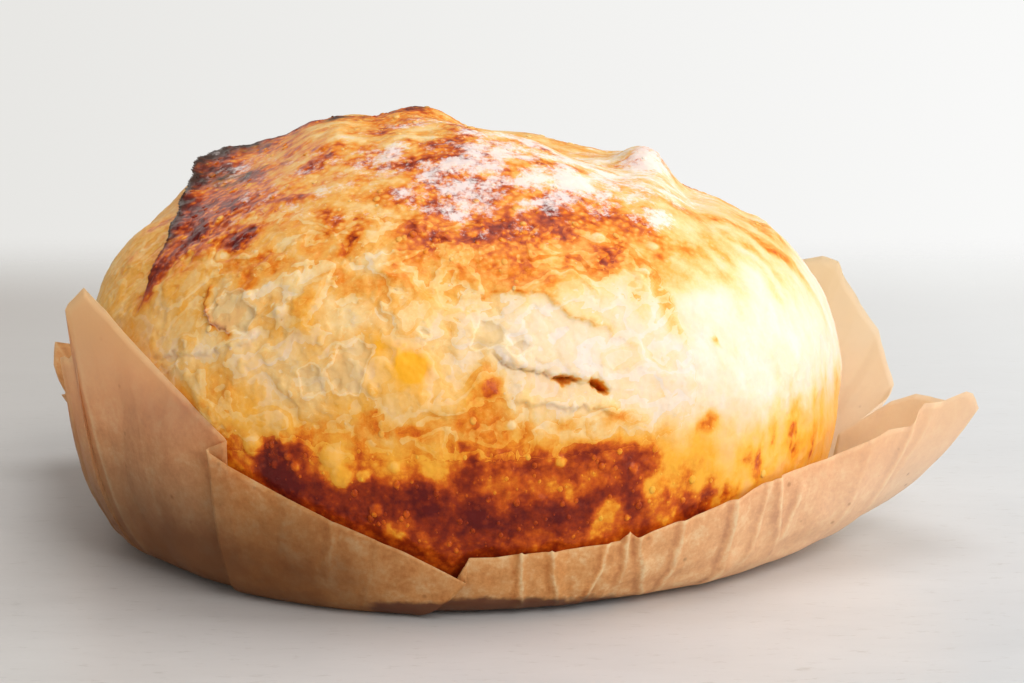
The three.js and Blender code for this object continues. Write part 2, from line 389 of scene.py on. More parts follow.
base_around = np.broadcast_to(foot_angles, (BASE_ROWS - 1, column_count))
base_crease_shading = np.zeros(base_around.size)
paper_around = np.concatenate([base_around.ravel(), wall_around.ravel(), [0]])
paper_height = np.concatenate([grid[..., 2].ravel(), [0]])
# fat soaked into the sheet, and painted shade too: darkest low down and on the left, where shade falls
soaked_and_shaded = np.interp(paper_around, *np.array(SOAKED_AND_SHADED).T) * smoothstep(52, 10, paper_height)
pooled = np.interp(paper_around, *np.array(POOLED).T) * smoothstep(11, 1, paper_height)
# dry paper, and painted light as well: the sheet is painted paler high up and towards the right, where light
# falls on it and glows through its tall corner
dry_and_lit = np.interp(paper_around, *np.array(DRY_AND_LIT).T) + 0.85 * smoothstep(36, 70, paper_height)
# painted light and shade at each crease, and a painted highlight along the cut edge
wall_crease_light_and_shade = wall_crease_shading.ravel() + CUT_EDGE_HIGHLIGHT * (wall_share.ravel() > CUT_EDGE_SHARE)
crease_light_and_shade = np.concatenate([base_crease_shading, wall_crease_light_and_shade, [0]])
for name, values in (("soaked_and_shaded", soaked_and_shaded), ("pooled", pooled), ("dry_and_lit", dry_and_lit), ("crease_light_and_shade", crease_light_and_shade)):
    paper_mesh.attributes.new(name, "FLOAT", "POINT").data.foreach_set("value", values.astype(np.float32))
paper_mesh.shade_smooth()
paper_mesh.update()
thicken = parchment.modifiers.new("thickness", "SOLIDIFY")
thicken.thickness = PAPER_THICKNESS * MM
thicken.offset = -1


def linear(hex_colour):
    """A colour written as sRGB hex, as the linear red, green, blue and alpha a shader takes."""
    parts = [int(hex_colour[k : k + 2], 16) / 255 for k in (1, 3, 5)]
    return tuple(p / 12.92 if p <= 0.04045 else ((p + 0.055) / 1.055) ** 2.4 for p in parts) + (1,)


def add_node(tree, kind, inputs=None, **settings):
    """Adds a node with its settings, and fills each input with a value or links it to an output."""
    made = tree.nodes.new(kind)
    for name, value in settings.items():
        setattr(made, name, value)
    for socket, value in (inputs or {}).items():
        if isinstance(value, bpy.types.NodeSocket):
            tree.links.new(value, made.inputs[socket])
        else:
            made.inputs[socket].default_value = value
    return made


def set_ramp(ramp, stops):
    """Fills a colour ramp with (place, sRGB hex) stops."""
    while len(ramp.elements) < len(stops):
        ramp.elements.new(1)
    for element, (place, colour) in zip(ramp.elements, stops):
        element.position = place
        element.color = linear(colour)


# Silicone-coated brown baking paper: thin enough that light from behind glows through it orange,
# faintly glossy, spotted with fat and scorched brown where butter pooled at the foot. Painted
# light and shade go into its colour too: light and dark lines at the creases, a light cut edge,
# darker low on the left where shade falls, and paler high up and on the right where light falls.
parchment_paper = bpy.data.materials.new("brown_parchment")
parchment_paper.use_nodes = True
t = parchment_paper.node_tree
t.nodes.clear()
place = add_node(t, "ShaderNodeTexCoord").outputs["Object"]
fibre = add_node(t, "ShaderNodeTexNoise",
                 {"Vector": place, "Scale": 800, "Detail": 4, "Roughness": 0.75}).outputs[0]
cloud = add_node(t, "ShaderNodeTexNoise",
                 {"Vector": place, "Scale": 190, "Detail": 4, "Roughness": 0.6}).outputs[0]
cloudy = add_node(t, "ShaderNodeMath", {0: fibre, 1: cloud}, operation="ADD").outputs[0]
# painted light and shade: the crease lines make the paper's colour lighter and darker
crease_light_and_shade_fac = add_node(t, "ShaderNodeAttribute", attribute_name="crease_light_and_shade").outputs["Fac"]
cloudy = add_node(t, "ShaderNodeMath", {0: crease_light_and_shade_fac, 1: 0.4, 2: cloudy}, operation="MULTIPLY_ADD").outputs[0]
cloudy = add_node(t, "ShaderNodeMath", {0: cloudy, 1: 0.5}, operation="MULTIPLY").outputs[0]
brown = add_node(t, "ShaderNodeValToRGB", {"Fac": cloudy})
set_ramp(brown.color_ramp, [(0.3, "#C67A3C"), (0.5, "#EBAC6A"), (0.7, "#FCDDA8")])
# paler where the sheet is dry and where painted light falls on it
pale = add_node(t, "ShaderNodeAttribute", attribute_name="dry_and_lit").outputs["Fac"]
pale = add_node(t, "ShaderNodeMath", {0: pale, 1: 0.6}, operation="MULTIPLY", use_clamp=True).outputs[0]
brown = add_node(t, "ShaderNodeMix",
                 {0: pale, 6: brown.outputs[0], 7: linear("#F5E8D4")}, data_type="RGBA").outputs[2]
blotch = add_node(t, "ShaderNodeTexNoise",
                  {"Vector": place, "Scale": 110, "Detail": 6, "Roughness": 0.66}).outputs[0]
# fat stains, with painted shade low on the left
fat_and_shade = add_node(t, "ShaderNodeAttribute", attribute_name="soaked_and_shaded").outputs["Fac"]
fat_and_shade = add_node(t, "ShaderNodeMath", {0: blotch, 1: 0.5, 2: fat_and_shade}, operation="MULTIPLY_ADD").outputs[0]
fat_and_shade = add_node(t, "ShaderNodeMapRange",
               {"Value": fat_and_shade, "From Min": 0.3, "From Max": 1.35, "To Max": 0.9}).outputs[0]
greasy_and_shaded = add_node(t, "ShaderNodeMix", {0: fat_and_shade, 6: brown, 7: linear("#70401F")}, data_type="RGBA").outputs[2]
pool = add_node(t, "ShaderNodeAttribute", attribute_name="pooled").outputs["Fac"]
pool = add_node(t, "ShaderNodeMath", {0: blotch, 1: pool}, operation="ADD").outputs[0]
pool = add_node(t, "ShaderNodeMapRange",
                {"Value": pool, "From Min": 1.0, "From Max": 1.2, "To Max": 0.85}).outputs[0]
stained = add_node(t, "ShaderNodeMix",
                   {0: pool, 6: greasy_and_shaded, 7: linear("#532C28")}, data_type="RGBA").outputs[2]
drops = add_node(t, "ShaderNodeTexVoronoi", {"Vector": place, "Scale": 210, "Randomness": 1.0}).outputs
drop_size = add_node(t, "ShaderNodeSeparateColor", {0: drops["Color"]}).outputs[0]
drop_size = add_node(t, "ShaderNodeMath",
                     {0: drop_size, 1: 0.36, 2: -0.2}, operation="MULTIPLY_ADD").outputs[0]
drop = add_node(t, "ShaderNodeMath", {0: drop_size, 1: drops["Distance"]}, operation="SUBTRACT").outputs[0]
drop = add_node(t, "ShaderNodeMapRange",
                {"Value": drop, "From Min": -0.04, "From Max": 0.08, "To Max": 0.5}).outputs[0]
stained = add_node(t, "ShaderNodeMix",
                   {0: drop, 6: stained, 7: linear("#7A4020")}, data_type="RGBA").outputs[2]
body = add_node(t, "ShaderNodeBsdfPrincipled",
                {"Base Color": stained, "Roughness": 0.5, "Specular IOR Level": 0.22})
paper_up = add_node(t, "ShaderNodeSeparateXYZ", {0: place}).outputs[2]
lit_through = add_node(t, "ShaderNodeMix",
                       {0: pale, 6: linear("#FDDFAC"), 7: linear("#FCEBCF")}, data_type="RGBA").outputs[2]
through = add_node(t, "ShaderNodeBsdfTranslucent", {"Color": lit_through})
share = add_node(t, "ShaderNodeMapRange", {"Value": paper_up, "From Min": 0.02, "From Max": 0.07,
                                           "To Min": 0.26, "To Max": 0.8}).outputs[0]
sheet_shader = add_node(t, "ShaderNodeMixShader", {0: share, 1: body.outputs[0], 2: through.outputs[0]})
add_node(t, "ShaderNodeOutputMaterial", {"Surface": sheet_shader.outputs[0]})
paper_mesh.materials.append(parchment_paper)

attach(parchment, "root")
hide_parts("parchment_paper")

# ---------------------------------------------------------------- the loaf
# White dough laminated with butter, shaped round and baked on its sheet. The buttery foot fried
# to mahogany, the floured top scorched in patches, and the pale waist tore where the dough grew
# last. One burnt lip stands up on the left. It is all one crust.

FRONT_STEP = 0.32  # degrees between columns on the front
BACK_STEP = 0.8
FRONT_HALF = 105  # degrees each way from the front that count as the front
ROW_STEP = 0.33
COARSE_BELOW = -40  # degrees up: the flat base needs few rows
POLE_CAP = 88
LOAF_TRIANGLES = 194000


def trace(around, up, line):
    """For a line of [around, up] corners: how far each point lies from it in mm, on which side
    (1 is left of its direction), and how far along it, from 0 to 1."""
    corners = np.array(line, float)
    lean = np.cos(np.radians(up))
    nearest = np.full(around.shape, 1e9)
    side = np.ones(around.shape)
    along = np.zeros(around.shape)
    lengths = np.hypot(*np.diff(corners, axis=0).T)
    starts = np.concatenate([[0], np.cumsum(lengths)])
    for (a0, u0), (a1, u1), length, start in zip(corners, corners[1:], lengths, starts):
        dx, dy = (a1 - a0) * lean, u1 - u0
        px, py = (around - a0) * lean, up - u0
        share = np.clip((px * dx + py * dy) / (dx * dx + dy * dy), 0, 1)
        distance = np.hypot(px - share * dx, py - share * dy) * MM_PER_DEGREE
        closer = distance < nearest
        nearest = np.where(closer, distance, nearest)
        side = np.where(closer, np.sign(dx * py - dy * px), side)
        along = np.where(closer, (start + share * length) / starts[-1], along)
    return nearest, side, along


def inside(around, up, outline):
    """How far inside a closed outline of [around, up] corners each point lies, in mm."""
    nearest, _, _ = trace(around, up, [*outline, outline[0]])
    crossed = np.zeros(around.shape, bool)
    for (a0, u0), (a1, u1) in zip(outline, [*outline[1:], outline[0]]):
        spans = (u0 > up) != (u1 > up)
        crossed ^= spans & (around < (a1 - a0) * (up - u0) / (u1 - u0 + 1e-9) + a0)
    return np.where(crossed, nearest, -nearest)


# Where the crust is darker than its surroundings, or paler.
# [degrees around, degrees up, half width, half height, tilt in degrees, change in baking]
BAKED_PATCHES = [
    # the fried foot
    [-25, -5.8, 4.2, 3, -28, 0.34],
    [-22.5, -8.5, 5.5, 3.4, -25, 0.32],
    [-31, -3.4, 2.4, 2.4, -20, 0.06],
    [-25, -3.4, 3, 2, 0, 0.24],
    [-23, -3, 3, 3, -20, 0.14],
    [-15, -11.5, 4, 3, -20, 0.2],
    [-11, -8.6, 3.4, 3, 0, 0.26],
    [-4.5, -9.4, 4, 3.4, -30, 0.34],
    [-2.5, -13.2, 4.6, 2.6, -15, 0.26],
    [3.6, -11.2, 3.6, 2.8, -20, 0.34],
    [8.6, -12.8, 3, 2.4, 0, 0.22],
    [13, -11.4, 3.4, 2.6, 10, 0.3],
    [18, -10.6, 3, 2.2, 20, 0.26],
    [18.6, -6.4, 1.6, 1, 0, -0.1],
    [16, -13.6, 3, 1.6, 0, 0.2],
    [23.6, -9, 3.4, 2, 10, 0.28],
    [11, -3.5, 1.8, 2.4, 0, 0.22],
    [18, -1.8, 3.6, 1.8, 0, 0.26],
    [28, -3.8, 3, 2.8, 20, 0.28],
    [28, -14, 3, 2.4, 10, 0.2],
    [24.5, -5.5, 3, 3, 0, 0.18],
    [27, -11, 2.4, 2, 0, 0.2],
    [2, -5, 2, 2.4, 0, 0.2],
    [0.5, -1.4, 1.3, 1, 0, 0.26],
    [37, -14, 3, 2.5, 0, 0.15],
    # gold inside the foot
    [-17, -4.4, 1.7, 3.4, -35, -0.18],
    [-9, -14.6, 1.8, 1.1, -30, -0.24],
    [7, -7, 2.6, 1.6, 0, -0.08],
    [20, -9.6, 2.4, 2.4, 0, 0.12],
    [14.8, -6.4, 2, 1.4, 0, -0.12],
    [20, -15, 1.2, 1.2, -15, -0.26],
    [9, -4.6, 9, 2.6, 4, 0.14],
    [20, -4.4, 6, 3, 0, 0.26],
    [1, -4, 3, 2.4, 0, 0.14],
    # spots on the pale waist
    [5.8, 5.2, 2.2, 1.5, 10, 0.22],
    [4.6, 5.8, 5, 3.6, 10, 0.24],
    [-9, 1.2, 5.5, 1.4, -12, 0.24],
    [36.3, -0.6, 2.2, 1.6, 0, 0.36],
    [45.5, -7, 2.4, 3, 0, 0.3],
    [38, -12, 5, 2.4, 15, 0.22],
    [16, 1.8, 3.4, 1.1, 0, 0.2],
    [22, 2.5, 3, 1.6, -20, 0.2],
    [56, -5, 2.4, 6, 4, 0.16],
    [63, -5, 2.6, 8, 6, 0.12],
    [70, -5, 2.4, 6, 6, 0.08],
    [50, -5, 3.4, 5, 0, 0.14],
    [77, -4, 3, 7, 4, 0.08],
    [58, -13, 12, 3.5, 0, 0.14],
    [-34, 2.5, 6, 5, 0, 0.13],
    [-3, 2.5, 6, 2.2, -5, 0.12],
    [7, 1, 5, 1.8, 0, 0.1],
    [-19, 15, 6, 4, 20, -0.05],
    [-28, 8, 7, 5, 0, -0.08],
    [-50, 9, 8, 6, 0, -0.02],
    [-7, 9.5, 5, 4, 0, -0.02],
    # the left slope below the burnt lip
    [-55, 27.5, 4, 2.4, -10, 0.34],
    [-36, 39, 2.4, 1.6, 0, 0.2],
    [-15.5, 33.4, 2.6, 4, 0, -0.1],
    [-12.4, 40.2, 2.6, 2, 0, 0.2],
    [-7.5, 34, 2, 2.6, 0, 0.12],
    [-52.5, 40.4, 4, 1.8, -10, 0.12],
    [-41.8, 48.6, 5, 1.8, 0, 0.14],
    [-31, 56.4, 6, 2, 0, 0.14],
    [-36, 19.4, 2, 2, 0, 0.1],
    [-57, 21, 3.4, 4, -15, 0.16],
    [-24, 17, 3, 3, 0, 0.08],
    [-42.5, 28, 1.7, 3.2, -35, 0.42],
    [-26.5, 34.5, 3.6, 2.4, 0, 0.26],
    [-40, 38, 4, 2, -10, 0.26],
    [-20.5, 28, 1.6, 3.6, -10, 0.24],
    [-33, 29, 5, 3, 0, -0.06],
    [-15, 27, 4, 5, 0, -0.12],
    [-40, 22, 5, 4, 0, 0.06],
    [-57, 16, 3, 5, -15, 0.22],
    [-43, 46, 7, 1.4, 0, 0.2],
    [-48, 52, 8, 1.4, -6, 0.2],
    [-38, 57, 9, 1.5, 5, 0.1],
    [-25, 50, 8, 1.5, 8, 0.2],
    [-20, 60, 10, 1.6, 0, 0.2],
    [-52, 36, 7, 2.4, 20, 0.18],
    [-66, 42, 8, 2, 0, 0.24],
    [-60, 33, 7, 5, 0, 0.17],
    [-48, 32, 12, 7, -10, 0.1],
    [-52, 47, 4, 2.4, 0, -0.12],
    [-72, 48, 6, 3, 0, -0.12],
    [-40, 59, 14, 3, 0, -0.07],
    [-22, 31, 6, 6, 0, 0.06],
    [-33, 24, 4, 3, 0, 0.14],
    [-50, 41, 8, 4, 0, 0.1],
    [-64, 24, 4, 6, -15, 0.2],
    # the scorched brow under the flour
    [-4, 37.5, 5, 2, -10, 0.2],
    [-6, 33, 3, 3, 0, 0.04],
    [0.5, 30.5, 4.6, 2, -10, 0.2],
    [12, 33, 7, 3, 8, 0.24],
    [8, 40, 12, 6, 0, 0.08],
    [28, 37, 10, 5, 0, 0.24],
    [-2, 45, 9, 5, 0, 0.1],
    [82, 24, 6, 9, 8, 0.16],
    [46, 20, 4, 7, 8, 0.1],
    [20.5, 34.5, 3, 4, 0, 0.16],
    [-18, 40, 5, 3, 0, 0.2],
    [2, 24, 8, 4, 0, -0.04],
    [25, 25, 6, 3, 10, 0.17],
    [47, 29, 6, 4, 0, -0.06],
    [35, 31.5, 5, 3, -20, 0.2],
    [38, 27, 3.5, 3, 0, 0.16],
    [30, 28, 5, 3, 0, 0.08],
    [-12, 26, 5, 4, 0, -0.06],
    [33, 15, 2, 4.5, 12, 0.2],
    [34.5, 21, 4.5, 5, 0, 0.15],
    [28.5, 18, 2, 3, 0, 0.14],
    [39, 11, 0.8, 0.8, 0, 0.34],
    [59, 32.5, 7, 2.4, -25, 0.14],
    [66, 29, 5, 5, 0, 0.05],
    [70, 19, 9, 9, 10, 0.12],
    [72, 18, 3, 7, 12, 0.16],
    [57, 17, 2, 6, 12, 0.12],
    [68, 22, 1.8, 7, 14, 0.26],
    [61, 21, 1.6, 6, 12, 0.14],
    [75, 12, 1.2, 6, 8, 0.12],
    [52, 25, 2, 5, 14, 0.1],
    # the back, never seen from the front
    [118, 30, 16, 9, 10, 0.2],
    [150, 38, 18, 8, -8, 0.24],
    [-165, 33, 16, 8, 12, 0.22],
    [-130, 26, 14, 8, 0, 0.14],
    [110, -12, 12, 5, 0, 0.3],
    [140, -13, 9, 4, 0, 0.34],
    [172, -10, 10, 5, 0, 0.4],
    [-150, -12, 11, 4, 0, 0.36],
    [-118, -10, 9, 5, 0, 0.24],
    [-88, -9, 8, 5, 0, 0.24],
]

# Thin skins that tore open: what shows inside is damp, grey-tan and smooth.
TORN_WINDOWS = [
    [[-22.5, 8.4], [-20.5, 9], [-19.2, 8.6], [-18.6, 5.6], [-21.5, 5]],
    [[-17.2, 11.5], [-14.2, 13], [-12.2, 12], [-13.6, 5.7], [-16.4, 5.4], [-18.3, 8.2]],
    [[2.3, 12.4], [3.8, 16.4], [6.6, 16], [7.4, 13.4], [5, 12.2]],
    [[-38, 18], [-34.5, 18.5], [-31, 15.5], [-32, 12.6], [-36.5, 12.5], [-40, 14.5]],
    [[-45.5, 5], [-43, 7], [-42.6, 2.5], [-44.4, 1]],
    [[-5.6, 14.9], [-4, 14.9], [-3.4, 14], [-5, 13.8]],
    [[7, 12.4], [9.5, 13.2], [12, 12.4], [9, 11.4]],
]

# Holes that open into the crumb along the split. Inside, the crumb is coloured amber and painted
# darker towards the middle, where the hole is deepest: painted shade.
HOLES = [
    [[13.3, 7.4], [14.4, 8.3], [16.4, 7.9], [18.2, 7.7], [17.6, 6.8], [15.2, 6.8]],
    [[19, 7.6], [20.6, 7], [21.8, 6.1], [21.2, 5.1], [20, 5.3], [19.2, 6.3]],
]

# How the crown's outline dips and swells: [mm to the right of the loaf's centre, lift in mm]
CROWN_PROFILE = [
    [-84, 0], [-77, 0.6], [-73, -2.6], [-62, -4.8], [-51, -3.4], [-43, 0], [-35, 1.2], [-24, -1.9],
    [-15, -1], [-3, 0], [20, 0], [30, -2.1], [43, -2.8], [50, 0.8], [55, 1.4], [63, -4.4],
    [73, -2.6], [84, -2.2], [88, 1.2], [96, 0],
]

# The burnt lip, from its foot on the left slope up over the shoulder to the peak.
BURNT_LIP = [
    [-55, 11], [-57.5, 17], [-61, 23.5], [-66.6, 27.6], [-72, 30.3], [-77.5, 32.8], [-84, 35.2],
    [-90, 38], [-95, 43], [-96, 50], [-97, 57], [-100, 64], [-106, 71], [-120, 77],
]
SPLIT = [[5.4, 12], [6.8, 9.9], [9.6, 9.2], [12.3, 8.3], [15, 7.6], [19, 6.9], [22.4, 5.2]]
LOWER_LIP = [[7.6, 5.2], [10, 4.3], [13, 4.4], [16, 3.6], [20, 3.4], [23, 2.2]]
BROW_RIM = [[-12, 22], [-4, 20.5], [3, 19.5], [9, 20.8], [14, 20], [17.5, 16.4], [22, 14.6],
            [26, 11.5], [27, 8.5]]
RED_CURL = [[-42, 19], [-41.6, 16.4], [-40, 14.2], [-37, 13], [-33.5, 12]]
LEFT_SEAM = [[-52, 6], [-44, 8.2], [-38, 9], [-31, 11.5], [-29, 14]]

HOLE_DEPTH = 5.5  # mm into the crumb
FLAKE_STEP = 0.32  # mm from one leaf of dough to the next
FLAKE_LEVELS = (-0.5, -0.25, 0.0, 0.25, 0.5)  # of the noise that the leaves' edges follow
NO_LEAF = -2  # marks crust without leaves
NO_SKIN = -3.0  # mm: as far outside a torn skin as is measured

# Soft humps on the crust: (middle, half width, half height), in degrees around and up.
LIP_CORNER = ((-75, 43), 18, 7.5)
LOBE = ((-88, 18), 12, 9)  # behind the lip, where the loaf bulged
KNOB = ((97, 46), 8, 4.5)  # on the right shoulder
PEAK = ((-14, 6), 9, 12)  # mm to the right of the loaf's centre and behind it
STRETCHED_SKIN = ((6, 11), 13, 7)
TAUT_SKIN = ((15, 13), 11, 5)  # above the split
RUBBED_OFF = ((16, 43), 6, 3)  # where the flour is thin
FLOUR_HEAPS = [(((43, 32), 8, 4), 0.62), (((88, 46), 20, 6), 0.85), (LIP_CORNER, 0.42)]


def on_the_right(around):
    """1 on the pale right side and 0 on the left and the back."""
    return smoothstep(-14, 36, around) * smoothstep(150, 100, around)


def off_the_back(around):
    """1 on the front and both sides, falling to 0 at the middle of the back."""
    return smoothstep(-170, -90, around) * smoothstep(170, 110, around)


def hump(x, y, middle, width, height):
    """A smooth hump over places x, y: 1 at its middle, and fallen to 1/e a width or height away."""
    return np.exp(-(((x - middle[0]) / width) ** 2) - ((y - middle[1]) / height) ** 2)


def baking(around, up, points, a, u):
    """How baked the crust is: a pale waist between a fried foot and a browned crown."""
    right = on_the_right(around)
    bake = 0.27 - 0.2 * right
    crown = smoothstep(15, 27, u)
    bake += crown * (0.08 + 0.23 * smoothstep(-30, 5, around) * smoothstep(70, 40, around)
                     + 0.11 * smoothstep(40, 70, around) * off_the_back(around))
    foot_front = smoothstep(-40, -28, a) * smoothstep(46, 31, a)
    foot_back = 0.55 * smoothstep(80, 105, np.abs(around))
    bake += (0.13 - 0.07 * right + 0.17 * np.maximum(foot_front, foot_back)) * smoothstep(4, -7, u)
    bake += 0.12 * foot_front * smoothstep(7, -2, u) * smoothstep(-6, 3, around)
    bake += 0.1 * foot_front * smoothstep(-4, -12, u)
    runs = wave(points * np.array([1, 1, 0.12]), 5, 12)
    runs += 0.6 * wave(points * np.array([1, 1, 0.2]), 2.4, 13)
    low_right = smoothstep(27, 42, around) * smoothstep(100, 84, around) * smoothstep(8, -7, up)
    bake += low_right * (0.08 + 0.22 * runs + 0.2 * rough_wave(points, 5, 14, 3, 0.6))
    for mid_a, mid_u, wide, high, tilt, change in BAKED_PATCHES:
        turn = math.radians(tilt)
        dx = (a - mid_a) * math.cos(math.radians(mid_u))
        dy = u - mid_u
        x = (dx * math.cos(turn) + dy * math.sin(turn)) / wide
        y = (-dx * math.sin(turn) + dy * math.cos(turn)) / high
        bake += change * smoothstep(1.35, 0.35, np.hypot(x, y))
    bake = np.maximum(bake, 0.5 * foot_front * smoothstep(-2.5, -8, u))
    bake += 0.05 * foot_front * smoothstep(-3, -7, u)
    bake += 0.08 * foot_front * smoothstep(-13, -17, u)
    contrast = 0.09 + 0.05 * smoothstep(0.18, 0.5, bake)
    upright = points * np.array([1, 1, 0.45])  # runs of baking stand upright on the sides
    bake += contrast * rough_wave(upright, 6, 11, 4, 0.55)
    bake -= 0.5 * np.maximum(bake - 0.85, 0)
    return bake


def burn_lip(around, up, points, bake):
    """The burnt lip, the knob and the peak: the crust in front of the lip stands proud, and
    behind it the loaf tore away. Returns the rise in mm, the baking and how burnt it is."""
    away, side, along = trace(around + 0.5 * wave(points, 4, 20), up + 0.9 * wave(points, 5, 21), BURNT_LIP)
    behind = side > 0
    ends = smoothstep(0, 0.12, along) * smoothstep(1, 0.8, along)
    over = smoothstep(0.5, 0.66, along)  # the stretch that runs over the crown
    corner = hump(around, up, *LIP_CORNER)
    drop = 4.4 + 2.4 * smoothstep(0.25, 0.4, along)
    drop *= smoothstep(0.66, 0.5, along)
    hollow = 15 + 11 * smoothstep(0.28, 0.42, along)
    rise = ends * np.where(behind, -drop * (1 - np.exp(-away / 1.1)) * np.exp(-((away / hollow) ** 2)),
                           (1.3 + 0.8 * corner) * np.exp(-away / 5))

    scorch = 2.6 + 2 * smoothstep(0.2, 0.45, along) + 8 * corner + 4 * over
    burnt = ends * np.exp(-away / np.where(behind, 1.6 + 5 * over, scorch))
    burnt *= (0.9 - 0.4 * over) + (0.45 + 0.4 * over) * rough_wave(points, 7, 22, 3, 0.6)
    ash = np.exp(-(((around + 75) / 13) ** 2) - ((up - 40 - 0.5 * (around + 75)) / 5.5) ** 2) * (1 - behind)
    burnt = np.maximum(burnt, ash * (0.62 + 0.5 * rough_wave(points, 5, 26, 3, 0.7)))
    plum = ends * np.exp(-away / np.where(behind, 1.4 + 6 * over, 15 + 12 * corner))
    plum *= 1 - 0.5 * over
    bake += plum * (0.56 + 0.35 * wave(points, 9, 23))

    not_back = off_the_back(around)
    streaks = 0.025 + 0.22 * rough_wave(points * np.array([0.55, 1, 1]), 7, 25, 3, 0.5)
    bake += streaks * smoothstep(34, 50, up) * (0.3 + 0.7 * not_back)
    lobe = behind * ends * smoothstep(34, 8, away) * (1 - over)
    bake = bake * (1 - 0.75 * lobe) + (0.47 + 0.16 * wave(points, 9, 28)) * 0.75 * lobe
    bake += 0.12 * rough_wave(points, 24, 27, 3) * smoothstep(0.9, 0.3, not_back)
    rise += 1.8 * hump(around, up, *LOBE)
    knob = hump(around, up, *KNOB)
    peak = hump(points[:, 0], points[:, 1], *PEAK) * (up > 50)
    rise += 2.1 * knob + 0.9 * peak + 0.8 * smoothstep(45, 60, up) * wave(points, 16, 24)
    bake += 0.3 * knob + 0.28 * peak
    burnt += (0.4 * knob + 0.7 * peak**2) * (0.8 + rough_wave(points, 5, 29, 2))
    return rise, bake, burnt


def raise_flakes(around, up, points, wander_up, rise, bake):
    """Lumps, the pebbled brown crust and upright pulls in the dough, and then the flakes: the
    laminations end in ragged steps. Returns the rise in mm and which leaf each place is on."""
    rise += 0.9 * wave(points, 30, 30) + 0.45 * wave(points, 13, 31)
    rise += (0.08 + 0.2 * smoothstep(0.35, 0.7, bake)) * rough_wave(points, 4.2, 32, 3, 0.6)
    rise += 0.16 * rough_wave(points * np.array([1, 1, 0.3]), 3.4, 35, 2) * smoothstep(30, 0, up)
    leaf = rough_wave(points * np.array([1, 1, 1.5]) + 3 * wander_up[:, None], 16, 40, 5, 0.55)
    flaky = 0.3 + (0.7 * smoothstep(-5, 5, up) * smoothstep(36, 22, up)
                   * smoothstep(62, 8, np.abs(around + 22)))
    for level in FLAKE_LEVELS:
        rise += FLAKE_STEP * flaky * smoothstep(-0.015, 0.02, leaf - level)
    slanted = np.stack([points[:, 0] * 0.5 - points[:, 2] * 0.35, points[:, 1] * 0.1,
                        points[:, 0] * 0.06 + points[:, 2] * 0.1], 1)
    rise += 0.22 * hump(around, up, *STRETCHED_SKIN) * rough_wave(slanted * 4, 6, 45, 2)
    return rise, np.where(flaky > 0.32, leaf, NO_LEAF)


def tear(around, up, points, rise, bake):
    """Torn windows, the holes, the split with taut pale skin above it, and the smaller lips.
    Returns the rise in mm, the baking, with painted shade inside the holes, and how far inside a
    torn window each place lies."""
    lean = np.maximum(np.cos(np.radians(up)), 0.2)
    frayed_a = around + (0.55 * wave(points, 2.6, 7) + 0.25 * wave(points, 1.2, 8)) / lean
    frayed_u = up + 0.55 * wave(points, 2.6, 9) + 0.25 * wave(points, 1.2, 10)
    skin = np.full(len(around), NO_SKIN)
    for window in TORN_WINDOWS:
        depth = inside(frayed_a, frayed_u, window) + 0.7 * wave(points, 4.5, 46)
        rise += 0.12 * np.exp(-(((depth + 0.6) / 0.7) ** 2)) - 0.5 * smoothstep(-0.2, 0.6, depth)
        skin = np.maximum(skin, np.clip(depth, NO_SKIN, -NO_SKIN))
    for hole in HOLES:
        depth = inside(frayed_a, frayed_u, hole)
        rise -= HOLE_DEPTH * smoothstep(-0.2, 1.5, depth)
        skin = np.where(depth > 0, NO_SKIN, skin)
        # painted shade: inside the hole the crust is coloured darker the deeper in it is
        bake = np.where(depth > 0, 0.5 + 0.05 * np.clip(depth, 0, 3), bake)

    away, side, along = trace(frayed_a, frayed_u, SPLIT)
    ends = smoothstep(0, 0.12, along) * smoothstep(1, 0.85, along)
    rise += ends * np.where(side > 0, 0.9 * np.exp(-away / 7), -1.1 * np.exp(-away / 3))
    rise -= ends * 0.8 * np.exp(-((away / 0.6) ** 2))
    bake += ends * 0.12 * np.exp(-((away / 0.5) ** 2))
    taut = hump(around, up, *TAUT_SKIN)
    bake = bake * (1 - 0.8 * taut) + 0.07 * 0.8 * taut
    for line, height, tint in ((LOWER_LIP, 0.9, 0.0), (LEFT_SEAM, 0.7, -0.12), (RED_CURL, 0.8, 0.42)):
        away, side, along = trace(frayed_a, frayed_u, line)
        ends = smoothstep(0, 0.1, along) * smoothstep(1, 0.9, along)
        rise += ends * np.where(side > 0, height * np.exp(-away / 2.2), -0.6 * height * np.exp(-away / 1.4))
        bake += ends * tint * np.exp(-away / 0.9)
    away, side, along = trace(frayed_a, frayed_u, BROW_RIM)
    ends = smoothstep(0.12, 0.6, along) * smoothstep(1, 0.75, along)
    rise += ends * np.where(side > 0, 0.75 * np.exp(-away / 5), 0)
    bake += ends * (0.08 * np.exp(-((away / 0.7) ** 2)) + np.where(side > 0, 0.14 * np.exp(-away / 4), -0.03))
    return rise, bake, skin


def flouring(around, up, points, u):
    """How thickly flour lies: on the crown, rubbed thin towards the left."""
    flour = (smoothstep(31, 41, u + 3 * wave(points, 9, 50)) * smoothstep(-30, 5, around)
             * smoothstep(95, 50, around))
    flour *= 0.62 - 0.12 * smoothstep(50, 62, up) + 0.36 * rough_wave(points, 8, 55, 2)
    flour *= 1 - 0.45 * hump(around, up, *RUBBED_OFF)
    veil = 0.33 + 0.06 * smoothstep(20, 60, around)
    veil += 0.2 * rough_wave(points * np.array([0.6, 1, 1]), 10, 54, 2)
    veil *= (smoothstep(22, 38, up + 4 * wave(points, 14, 52)) * off_the_back(around)
             * smoothstep(-85, -52, around))
    flour = np.maximum(flour, veil)
    for heap, depth in FLOUR_HEAPS:
        flour = np.maximum(flour, depth * hump(around, up, *heap))
    return flour


